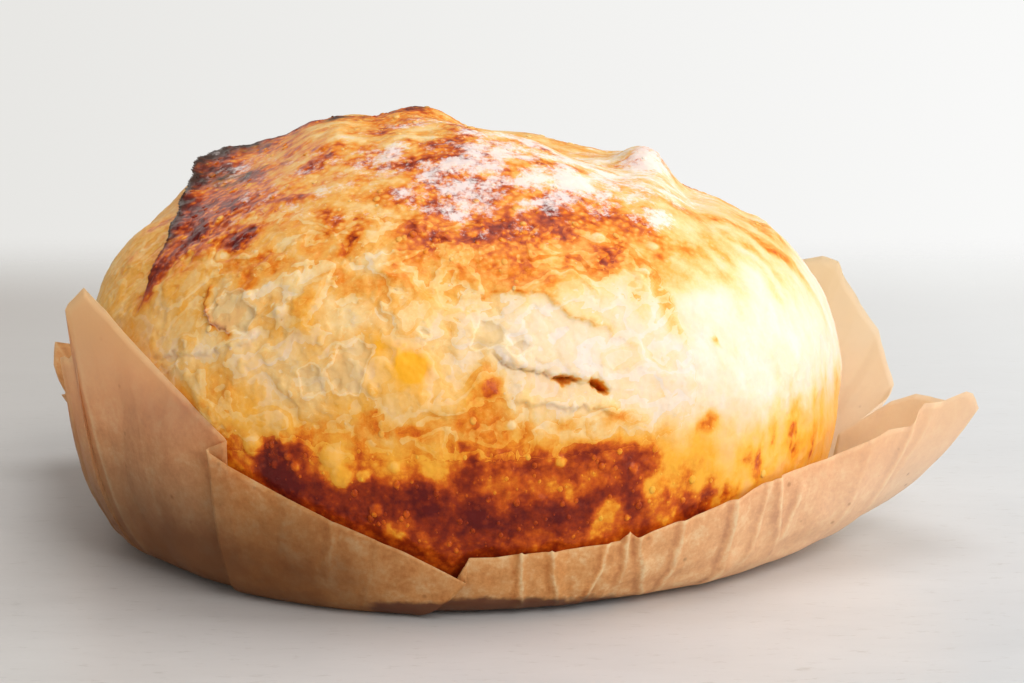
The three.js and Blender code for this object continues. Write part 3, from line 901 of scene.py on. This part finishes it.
def buttering(around, up, points, a, u, melted_a, melted_u):
    """Where yellow fat shows: the melted flake by the split, round the waist and on the foot."""
    butter = 1.3 * hump(melted_a, melted_u, (-6.2, 9.4), 2, 2.6)
    butter += 0.75 * hump(melted_a, melted_u, (-10.5, 12.2), 3.4, 1.8)
    butter *= 0.8 + 0.5 * rough_wave(points, 5, 57, 2, 0.5)
    butter += 0.45 * hump(a, u, (-8, 8), 7, 5)
    butter += 0.5 * hump(a, u, (-62, 12), 20, 12)
    butter += 0.2 * hump(a, u, (-26, 3), 36, 6)
    butter += (0.3 * smoothstep(0, 0.6, wave(points, 15, 51)) * smoothstep(45, 20, up)
               * (1 - on_the_right(around)))
    return np.maximum(butter, 0.75 * smoothstep(3, -5, u) * smoothstep(100, 80, np.abs(around)))


def crust_fields(around, up, points):
    """Everything that is shaped or coloured on the crust, at places given both in degrees and in
    mm: how far the surface rises, and how baked, burnt, floured, skinned and buttery it is, and
    which leaf of dough it belongs to."""
    wander_around = 1.9 * wave(points, 13, 1) + 0.8 * wave(points, 5, 2) + 0.35 * wave(points, 2.2, 3)
    wander_up = 1.7 * wave(points, 13, 4) + 0.8 * wave(points, 5, 5) + 0.35 * wave(points, 2.2, 6)
    a = around + wander_around / np.maximum(np.cos(np.radians(up)), 0.2)
    u = up + wander_up
    bake = baking(around, up, points, a, u)
    rise, bake, burnt = burn_lip(around, up, points, bake)
    rise, leaf = raise_flakes(around, up, points, wander_up, rise, bake)
    rise, bake, skin = tear(around, up, points, rise, bake)
    flour = flouring(around, up, points, u)
    butter = buttering(around, up, points, a, u, around + 0.3 * wander_around, up + 0.3 * wander_up)
    return rise, bake, burnt, flour, skin, butter, leaf


# Large blisters: [degrees around, degrees up, radius in mm, height in mm]
BLISTERS = [
    [-29, -2.6, 3, 1], [-23.6, -3.6, 1.3, 0.8], [-25.8, -5, 1, 0.6], [-13, -6, 1.9, 0.7],
    [-33.6, 17.4, 2.8, 0.9], [-26.8, 16.4, 2.3, 0.9], [-8.6, -4.6, 1.5, 0.7],
    [27.4, 29.6, 2, 0.7], [32.6, 22.6, 1.8, 0.7], [30.6, 21.4, 1.4, 0.6], [37, 26.6, 1.7, 0.6],
    [-44, 24, 2.2, 0.7], [-17.6, -3.4, 3, 0.9], [-16, -6.2, 3.2, 0.9], [7.8, 1.4, 1.3, 0.6],
    [-22.6, -5, 1.4, 0.7], [-11.4, -11, 2, 0.7], [14.6, -4, 1.6, 0.6], [25, -5.4, 1.4, 0.6],
]
BUBBLES_PER_METRE = 620

columns = np.concatenate([
    np.arange(-FRONT_HALF, FRONT_HALF, FRONT_STEP),
    np.arange(FRONT_HALF, 360 - FRONT_HALF - BACK_STEP / 2, BACK_STEP),
])
rows = np.concatenate([
    np.arange(-POLE_CAP, COARSE_BELOW, 4),
    np.arange(COARSE_BELOW, POLE_CAP, ROW_STEP),
    np.arange(POLE_CAP, 89.9, 0.7),
])
grid_up, grid_around = (g.ravel() for g in np.meshgrid(rows, columns, indexing="ij"))
grid_up = np.concatenate([grid_up, [-90, 90]])
grid_around = np.concatenate([grid_around, [0, 0]])
ways = heading(grid_around, grid_up)
points = ways * crust_distance(grid_around, grid_up)[:, None]
rise, bake, burnt, flour, skin, butter, leaf = crust_fields(
    (grid_around + 180) % 360 - 180, grid_up, points)

# The large blisters swell out of the finished surface, and their thin tops stay pale.
tree = KDTree(len(points))
for number, point in enumerate(points):
    tree.insert(point, number)
tree.balance()
blister = np.zeros(len(points))
for place_around, place_up, radius, height in BLISTERS:
    place = heading(place_around, place_up) * crust_distance(np.array(place_around), np.array(place_up))
    near = tree.find_range(Vector(place), radius * 1.3)
    which = np.array([n[1] for n in near])
    reach = np.array([n[2] for n in near]) / radius
    dome = np.clip(1 - reach**2, 0, 1) ** 0.7
    rise[which] += height * dome
    blister[which] = np.maximum(blister[which], smoothstep(0, 0.6, dome))
bake = bake - 0.17 * blister * smoothstep(0.15, 0.5, bake)

# Behind the paper and on the flat base the crust lies close to its plain surface.
rim_order = np.argsort([row[0] for row in CUT_EDGE])
rim_angles, _, rim_heights = np.array(CUT_EDGE, float)[rim_order, :3].T
height = points[:, 2] + LOAF_CENTRE[2]
covered = np.interp((grid_around + 180) % 360 - 180, rim_angles, rim_heights) - height
bare = smoothstep(-1, -4, covered)
rise = np.where(covered > -3, np.minimum(rise, 0.45 + 0.25 * np.clip(-covered, 0, 3)), rise)
rise *= smoothstep(-30, -22, grid_up)
points += ways * rise[:, None]
profile = np.array(CROWN_PROFILE, float).T
sideways = points[:, 0] + 1.5 * wave(points, 18, 70)
lift = sum(np.interp(sideways + step, *profile) for step in (-2, -0.7, 0.7, 2)) / 4
points[:, 2] += lift * smoothstep(14, 30, grid_up) * np.exp(-(((points[:, 1] - 10) / 50) ** 2))
points = (points + LOAF_CENTRE) * MM

row_count, column_count = len(rows), len(columns)
index, following, quads = ring_quads(row_count, column_count)
bottom, top = row_count * column_count, row_count * column_count + 1
caps = [(bottom, b, a) for a, b in zip(index[0], following[0])]
caps += [(top, a, b) for a, b in zip(index[-1], following[-1])]
loaf_mesh = bpy.data.meshes.new("loaf_crust")
loaf_mesh.from_pydata(points.tolist(), [], quads.tolist() + caps)
for name, values in (("bake", bake), ("burnt", burnt), ("flour", flour), ("skin", skin),
                     ("butter", butter), ("leaf", leaf), ("bare", bare)):
    loaf_mesh.attributes.new(name, "FLOAT", "POINT").data.foreach_set("value", values.astype(np.float32))
dense = bpy.data.objects.new("loaf_dense", loaf_mesh)
bpy.context.scene.collection.objects.link(dense)
thin = dense.modifiers.new("thin", "DECIMATE")
thin.ratio = LOAF_TRIANGLES / (2 * len(quads) + len(caps))
bpy.context.view_layer.update()
evaluated = dense.evaluated_get(bpy.context.evaluated_depsgraph_get())
loaf = bpy.data.objects.new("loaf_crust", bpy.data.meshes.new_from_object(evaluated))
bpy.data.objects.remove(dense)
bpy.context.scene.collection.objects.link(loaf)
loaf.data.shade_smooth()


# Baked butter dough: thin gelled starch that scatters light where it is pale, and glazed with
# fat where it is brown, with dull burnt edges and dry flour.
crust = bpy.data.materials.new("baked_butter_crust")
crust.use_nodes = True
t = crust.node_tree
t.nodes.clear()
place = add_node(t, "ShaderNodeTexCoord").outputs["Object"]
upright = add_node(t, "ShaderNodeMapping", {"Vector": place, "Scale": (1, 1, 0.35)}).outputs[0]
field = {name: add_node(t, "ShaderNodeAttribute", attribute_name=name).outputs["Fac"]
         for name in ("bake", "burnt", "flour", "skin", "butter", "leaf")}
mottle = add_node(t, "ShaderNodeTexNoise",
                  {"Vector": place, "Scale": 420, "Detail": 4, "Roughness": 0.55}).outputs[0]
pulls = add_node(t, "ShaderNodeTexNoise",
                 {"Vector": upright, "Scale": 330, "Detail": 4, "Roughness": 0.6}).outputs[0]
grain = add_node(t, "ShaderNodeTexNoise",
                 {"Vector": place, "Scale": 1500, "Detail": 3, "Roughness": 0.7}).outputs[0]
mixed = add_node(t, "ShaderNodeMath", {0: mottle, 1: pulls}, operation="ADD").outputs[0]
mixed = add_node(t, "ShaderNodeMath", {0: mixed, 1: grain}, operation="ADD").outputs[0]
spread = add_node(t, "ShaderNodeMapRange", {"Value": field["bake"], "From Min": 0.1, "From Max": 0.55,
                                            "To Min": 0.1, "To Max": 0.19}).outputs[0]
speckle = add_node(t, "ShaderNodeMath", {0: mixed, 1: -1.5}, operation="ADD").outputs[0]
baked = add_node(t, "ShaderNodeMath",
                 {0: speckle, 1: spread, 2: field["bake"]}, operation="MULTIPLY_ADD").outputs[0]

# fine bubbles, each with a pale top and a browned rim
bubble = add_node(t, "ShaderNodeTexVoronoi",
                  {"Vector": place, "Scale": BUBBLES_PER_METRE, "Randomness": 1.0},
                  feature="SMOOTH_F1").outputs["Distance"]
bubble = add_node(t, "ShaderNodeMath", {0: bubble, 1: -0.42}, operation="ADD").outputs[0]
bubbly = add_node(t, "ShaderNodeMapRange", {"Value": field["bake"], "From Min": 0.3, "From Max": 0.6,
                                            "To Min": 0.0, "To Max": 0.22}).outputs[0]
height = add_node(t, "ShaderNodeSeparateXYZ", {0: place}).outputs[2]
pebbled = add_node(t, "ShaderNodeMapRange", {"Value": height, "From Min": 0.075, "From Max": 0.092,
                                             "To Min": 1.0, "To Max": 2.4}).outputs[0]
bubbly = add_node(t, "ShaderNodeMath", {0: bubbly, 1: pebbled}, operation="MULTIPLY").outputs[0]
baked = add_node(t, "ShaderNodeMath", {0: bubble, 1: bubbly, 2: baked}, operation="MULTIPLY_ADD").outputs[0]

# leaves of dough: each has its own tone, and a thin dry edge that stayed pale
ragged = add_node(t, "ShaderNodeMath",
                  {0: mottle, 1: 0.09, 2: field["leaf"]}, operation="MULTIPLY_ADD").outputs[0]
ragged = add_node(t, "ShaderNodeMath", {0: ragged, 1: 0.955}, operation="ADD").outputs[0]
leaves = add_node(t, "ShaderNodeMath", {0: ragged, 1: 4.0}, operation="MULTIPLY").outputs[0]
number = add_node(t, "ShaderNodeMath", {0: leaves}, operation="FLOOR").outputs[0]
tone = add_node(t, "ShaderNodeTexWhiteNoise", {"W": number}, noise_dimensions="1D").outputs["Value"]
into_leaf = add_node(t, "ShaderNodeMath", {0: leaves}, operation="FRACT").outputs[0]
leaf_rim = add_node(t, "ShaderNodeMapRange", {"Value": into_leaf, "From Min": 0.02, "From Max": 0.13,
                                              "To Min": 1.0, "To Max": 0.0}).outputs[0]
leafy = add_node(t, "ShaderNodeMath", {0: field["leaf"], 1: -1.0}, operation="GREATER_THAN").outputs[0]
leaf_rim = add_node(t, "ShaderNodeMath", {0: leaf_rim, 1: leafy}, operation="MULTIPLY").outputs[0]
tone = add_node(t, "ShaderNodeMath", {0: tone, 1: 0.15, 2: -0.05}, operation="MULTIPLY_ADD").outputs[0]
tone = add_node(t, "ShaderNodeMath", {0: leaf_rim, 1: -0.05, 2: tone}, operation="MULTIPLY_ADD").outputs[0]
baked = add_node(t, "ShaderNodeMath", {0: tone, 1: leafy, 2: baked}, operation="MULTIPLY_ADD").outputs[0]
colour = add_node(t, "ShaderNodeValToRGB", {"Fac": baked})
set_ramp(colour.color_ramp, [
    (0.0, "#E8DACC"), (0.13, "#EBD5B6"), (0.27, "#EECB8E"), (0.41, "#EAAA50"),
    (0.55, "#E2811F"), (0.69, "#C45412"), (0.83, "#92300E"), (1.0, "#5E1612"),
])
pale = add_node(t, "ShaderNodeMapRange", {"Value": baked, "From Min": 0.4, "From Max": 0.62,
                                          "To Min": 1.0, "To Max": 0.0}).outputs[0]
buttery = add_node(t, "ShaderNodeMath",
                   {0: field["butter"], 1: pale}, operation="MULTIPLY", use_clamp=True).outputs[0]
yellow = add_node(t, "ShaderNodeMix", {0: buttery, 6: colour.outputs[0], 7: linear("#F3AC24")},
                  data_type="RGBA").outputs[2]
torn = add_node(t, "ShaderNodeMath",
                {0: mottle, 1: 1.2, 2: field["skin"]}, operation="MULTIPLY_ADD").outputs[0]
damp = add_node(t, "ShaderNodeMapRange",
                {"Value": torn, "From Min": 0.62, "From Max": 0.95, "To Max": 0.5}).outputs[0]
frill = add_node(t, "ShaderNodeMath", {0: torn, 1: 0.35, 2: 0.32}, operation="COMPARE").outputs[0]
frilled = add_node(t, "ShaderNodeMath", {0: frill, 1: 0.32}, operation="MULTIPLY").outputs[0]
edged = add_node(t, "ShaderNodeMix",
                 {0: frilled, 6: yellow, 7: linear("#F6E6C4")}, data_type="RGBA").outputs[2]
tan = add_node(t, "ShaderNodeMix", {0: damp, 6: edged, 7: linear("#E0C290")}, data_type="RGBA").outputs[2]
soot = add_node(t, "ShaderNodeMix",
                {0: mottle, 6: linear("#2A1512"), 7: linear("#4A3226")}, data_type="RGBA").outputs[2]
char_share = add_node(t, "ShaderNodeMapRange",
                      {"Value": field["burnt"], "From Min": 0.25, "From Max": 0.75}).outputs[0]
burned = add_node(t, "ShaderNodeMix", {0: char_share, 6: tan, 7: soot}, data_type="RGBA").outputs[2]
drift = add_node(t, "ShaderNodeTexNoise",
                 {"Vector": place, "Scale": 160, "Detail": 3, "Roughness": 0.6}).outputs[0]
powder = add_node(t, "ShaderNodeTexNoise",
                  {"Vector": place, "Scale": 720, "Detail": 5, "Roughness": 0.8}).outputs[0]
powder = add_node(t, "ShaderNodeMath", {0: drift, 1: powder}, operation="ADD").outputs[0]
dust = add_node(t, "ShaderNodeMath",
                {0: field["flour"], 1: 0.85, 2: powder}, operation="MULTIPLY_ADD").outputs[0]
dust = add_node(t, "ShaderNodeMapRange",
                {"Value": dust, "From Min": 1.32, "From Max": 1.56, "To Max": 0.8}).outputs[0]
dusted = add_node(t, "ShaderNodeMix",
                  {0: dust, 6: burned, 7: linear("#EEE6E3")}, data_type="RGBA").outputs[2]
gloss = add_node(t, "ShaderNodeMapRange", {"Value": baked, "From Min": 0.1, "From Max": 0.7,
                                           "To Min": 0.52, "To Max": 0.3}).outputs[0]
gloss = add_node(t, "ShaderNodeMix", {0: dust, 2: gloss, 3: 0.9}).outputs[0]
glow = add_node(t, "ShaderNodeMapRange", {"Value": baked, "From Min": 0.05, "From Max": 0.6,
                                          "To Min": 0.3, "To Max": 0.05}).outputs[0]
relief = add_node(t, "ShaderNodeMath", {0: mixed, 1: spread}, operation="MULTIPLY").outputs[0]
relief = add_node(t, "ShaderNodeMath", {0: bubble, 1: -0.5, 2: relief}, operation="MULTIPLY_ADD").outputs[0]
bump = add_node(t, "ShaderNodeBump", {"Height": relief, "Distance": 0.9 * MM, "Strength": 0.42}).outputs[0]
skin_shader = add_node(t, "ShaderNodeBsdfPrincipled", {
    "Base Color": dusted, "Roughness": gloss, "Normal": bump, "Specular IOR Level": 0.16,
    "Subsurface Weight": glow, "Subsurface Radius": (1.0, 0.55, 0.25), "Subsurface Scale": 3 * MM,
})
add_node(t, "ShaderNodeOutputMaterial", {"Surface": skin_shader.outputs[0]})
loaf.data.materials.clear()
loaf.data.materials.append(crust)

# Small blisters: tiny domes that rose where the fat fried the crust, and stayed paler than it.
SMALL_BLISTERS = {
    "Per square metre": 65000.0,
    "Smallest": 0.25 * MM,
    "Largest": 1.05 * MM,
    "Paler by": 0.1,
    "Seed": 7,
    "Crust": crust,
}
scatter = bpy.data.node_groups.new("small_blisters", "GeometryNodeTree")
for name, kind in (("Loaf", "Geometry"), ("Per square metre", "Float"), ("Smallest", "Float"),
                   ("Largest", "Float"), ("Paler by", "Float"), ("Seed", "Int"), ("Crust", "Material")):
    scatter.interface.new_socket(name, in_out="INPUT", socket_type="NodeSocket" + kind)
scatter.interface.new_socket("Blisters", in_out="OUTPUT", socket_type="NodeSocketGeometry")
t = scatter
given = add_node(t, "NodeGroupInput").outputs
baked_here = add_node(t, "GeometryNodeInputNamedAttribute", {"Name": "bake"}).outputs[0]
bare_here = add_node(t, "GeometryNodeInputNamedAttribute", {"Name": "bare"}).outputs[0]
fried = add_node(t, "ShaderNodeMapRange",
                 {"Value": baked_here, "From Min": 0.36, "From Max": 0.66}).outputs[0]
fried = add_node(t, "ShaderNodeMath", {0: fried, 1: bare_here}, operation="MULTIPLY").outputs[0]
fried = add_node(t, "ShaderNodeMath",
                 {0: fried, 1: given["Per square metre"]}, operation="MULTIPLY").outputs[0]
spots = add_node(t, "GeometryNodeDistributePointsOnFaces", {
    "Mesh": given["Loaf"], "Density": fried, "Seed": given["Seed"]}).outputs
chance = add_node(t, "FunctionNodeRandomValue", {"Seed": given["Seed"]}, data_type="FLOAT").outputs[1]
chance = add_node(t, "ShaderNodeMath", {0: chance, 1: 3.0}, operation="POWER").outputs[0]
size = add_node(t, "ShaderNodeMapRange", {"Value": chance, "To Min": given["Smallest"],
                                          "To Max": given["Largest"]}).outputs[0]
low = add_node(t, "ShaderNodeMath", {0: size, 1: 0.36}, operation="MULTIPLY").outputs[0]
long = add_node(t, "ShaderNodeMath", {0: size, 1: 1.25}, operation="MULTIPLY").outputs[0]
stretch = add_node(t, "ShaderNodeCombineXYZ", {0: size, 1: long, 2: low}).outputs[0]
dome = add_node(t, "GeometryNodeMeshUVSphere", {"Segments": 8, "Rings": 5, "Radius": 1.0}).outputs[0]
dome = add_node(t, "GeometryNodeSetShadeSmooth", {"Geometry": dome}).outputs[0]
domes = add_node(t, "GeometryNodeInstanceOnPoints", {
    "Points": spots["Points"], "Instance": dome, "Rotation": spots["Rotation"], "Scale": stretch}).outputs[0]
domes = add_node(t, "GeometryNodeRealizeInstances", {0: domes}).outputs[0]
paler = add_node(t, "ShaderNodeMath",
                 {0: baked_here, 1: given["Paler by"]}, operation="SUBTRACT").outputs[0]
domes = add_node(t, "GeometryNodeStoreNamedAttribute", {
    "Geometry": domes, "Name": "bake", "Value": paler}).outputs[0]
domes = add_node(t, "GeometryNodeSetMaterial", {"Geometry": domes, "Material": given["Crust"]}).outputs[0]
add_node(t, "NodeGroupOutput", {"Blisters": domes})
carrier = bpy.data.objects.new("blister_carrier", loaf.data)
bpy.context.scene.collection.objects.link(carrier)
scattering = carrier.modifiers.new("small_blisters", "NODES")
scattering.node_group = scatter
for socket in scatter.interface.items_tree:
    if socket.in_out == "INPUT" and socket.name in SMALL_BLISTERS:
        scattering[socket.identifier] = SMALL_BLISTERS[socket.name]
bpy.context.view_layer.update()
evaluated = carrier.evaluated_get(bpy.context.evaluated_depsgraph_get())
blisters = bpy.data.objects.new("crust_blisters", bpy.data.meshes.new_from_object(evaluated))
bpy.data.objects.remove(carrier)
bpy.context.scene.collection.objects.link(blisters)

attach(loaf, "root")
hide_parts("loaf")
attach(blisters, "root")

# ---------------------------------------------------------------- stage
# A pale table that fades into the white room behind it, and a large window low on the right.

TABLE_EDGE = 0.42
floor_mesh = bpy.data.meshes.new("floor")
floor_mesh.from_pydata([(-4, -2, 0), (4, -2, 0), (4, 0.7, 0), (-4, 0.7, 0)], [], [(0, 1, 2, 3)])
floor = bpy.data.objects.new("floor", floor_mesh)
bpy.context.scene.collection.objects.link(floor)

# Whitewashed wood, softly mottled, painted lighter towards the right as painted light from the
# window, and lighter far away. Past its far edge it fades out into the room.
table = bpy.data.materials.new("pale_table")
table.use_nodes = True
t = table.node_tree
t.nodes.clear()
place = add_node(t, "ShaderNodeTexCoord").outputs["Object"]
table_place = add_node(t, "ShaderNodeSeparateXYZ", {0: place}).outputs
depth = table_place[1]
gone = add_node(t, "ShaderNodeMapRange", {"Value": depth, "From Min": TABLE_EDGE - 0.1,
                                          "From Max": TABLE_EDGE + 0.12},
                interpolation_type="SMOOTHSTEP").outputs[0]
grainy = add_node(t, "ShaderNodeMapping", {"Vector": place, "Scale": (1, 3, 1)}).outputs[0]
worn = add_node(t, "ShaderNodeTexNoise",
                {"Vector": grainy, "Scale": 14, "Detail": 7, "Roughness": 0.7}).outputs[0]
wash = add_node(t, "ShaderNodeValToRGB", {"Fac": worn})
set_ramp(wash.color_ramp, [(0.3, "#BAB7B5"), (0.7, "#D0CECD")])
specks = add_node(t, "ShaderNodeTexNoise",
                  {"Vector": grainy, "Scale": 130, "Detail": 5, "Roughness": 0.7}).outputs[0]
specks = add_node(t, "ShaderNodeMapRange", {"Value": specks, "From Min": 0.3, "From Max": 0.42,
                                            "To Min": 0.35, "To Max": 0.0}).outputs[0]
# painted light: the table's colour is lighter towards the right, under the window
glare = add_node(t, "ShaderNodeMapRange",
                 {"Value": table_place[0], "From Min": -0.22, "From Max": 0.22}).outputs[0]
painted_light_across = add_node(t, "ShaderNodeMix",
                     {0: glare, 6: linear("#C0BCB7"), 7: linear("#D9DFE6")}, data_type="RGBA").outputs[2]
worn_wood = add_node(t, "ShaderNodeMix",
                     {0: 0.6, 6: wash.outputs[0], 7: painted_light_across}, data_type="RGBA").outputs[2]
worn_wood = add_node(t, "ShaderNodeMix",
                     {0: specks, 6: worn_wood, 7: linear("#9A9690")}, data_type="RGBA").outputs[2]
far = add_node(t, "ShaderNodeMapRange", {"Value": depth, "From Min": -0.1, "From Max": 0.4}).outputs[0]
far_painted_light = add_node(t, "ShaderNodeMix",
                    {0: glare, 6: linear("#CCC8C4"), 7: linear("#F2F4F5")}, data_type="RGBA").outputs[2]
worn_wood = add_node(t, "ShaderNodeMix", {0: far, 6: worn_wood, 7: far_painted_light}, data_type="RGBA").outputs[2]
around_loaf = add_node(t, "ShaderNodeVectorMath", {0: place}, operation="LENGTH").outputs["Value"]
far_away = add_node(t, "ShaderNodeMapRange", {"Value": around_loaf, "From Min": 0.75, "From Max": 1.3},
                    interpolation_type="SMOOTHSTEP").outputs[0]
gone = add_node(t, "ShaderNodeMath", {0: gone, 1: far_away}, operation="MAXIMUM").outputs[0]
wood = add_node(t, "ShaderNodeBsdfPrincipled", {"Base Color": worn_wood, "Roughness": 0.34})
clear = add_node(t, "ShaderNodeBsdfTransparent")
fading = add_node(t, "ShaderNodeMixShader", {0: gone, 1: wood.outputs[0], 2: clear.outputs[0]})
add_node(t, "ShaderNodeOutputMaterial", {"Surface": fading.outputs[0]})
floor_mesh.materials.append(table)

scene = bpy.context.scene
scene.view_settings.view_transform = "Standard"
world = bpy.data.worlds.new("white_room")
scene.world = world
world.use_nodes = True
t = world.node_tree
t.nodes.clear()
seen = add_node(t, "ShaderNodeLightPath").outputs["Is Camera Ray"]
room = add_node(t, "ShaderNodeBackground", {"Color": linear("#FFFDFA"), "Strength": 0.32})
toward = add_node(t, "ShaderNodeTexCoord").outputs["Generated"]
across = add_node(t, "ShaderNodeSeparateXYZ", {0: toward}).outputs[0]
across = add_node(t, "ShaderNodeMapRange", {"Value": across, "From Min": -0.2, "From Max": 0.2}).outputs[0]
lit_wall = add_node(t, "ShaderNodeMix", {0: across, 6: linear("#E8E7E4"), 7: linear("#F9F9F8")},
                    data_type="RGBA").outputs[2]
wall_seen = add_node(t, "ShaderNodeBackground", {"Color": lit_wall, "Strength": 1.0})
either = add_node(t, "ShaderNodeMixShader", {0: seen, 1: room.outputs[0], 2: wall_seen.outputs[0]})
add_node(t, "ShaderNodeOutputWorld", {"Surface": either.outputs[0]})

# Square soft boxes, as [name, place and target in metres, size, watts, colour].
SOFT_BOXES = [
    ["window", (1.2, 0.22, 0.55), (0, 0, 0.06), 1.0, 9.4, "#FFFDF9"],
    ["overhead", (0.2, 0.1, 1.25), (0, 0, 0.05), 0.7, 5, "#FFFFFF"],
    ["fill", (0.6, -0.95, 0.85), (0, 0, 0.06), 0.8, 9.6, "#FFFBF6"],
    ["low", (0.75, -1.1, 0.22), (0, 0, 0.04), 0.6, 3.2, "#FFF8F0"],
    ["left", (-0.8, -0.6, 0.12), (-0.08, 0, 0.05), 0.5, 1.3, "#FFF4E4"],
    ["back", (-0.6, 0.9, 0.7), (-0.1, 0, 0.06), 0.6, 1.6, "#FFF8EE"],
]
for name, place, target, size, power, colour in SOFT_BOXES:
    light = bpy.data.lights.new(name, "AREA")
    light.size = size
    light.energy = power
    light.color = linear(colour)[:3]
    soft_box = bpy.data.objects.new(name, light)
    soft_box.location = place
    soft_box.rotation_euler = (Vector(place) - Vector(target)).to_track_quat("Z", "Y").to_euler()
    scene.collection.objects.link(soft_box)
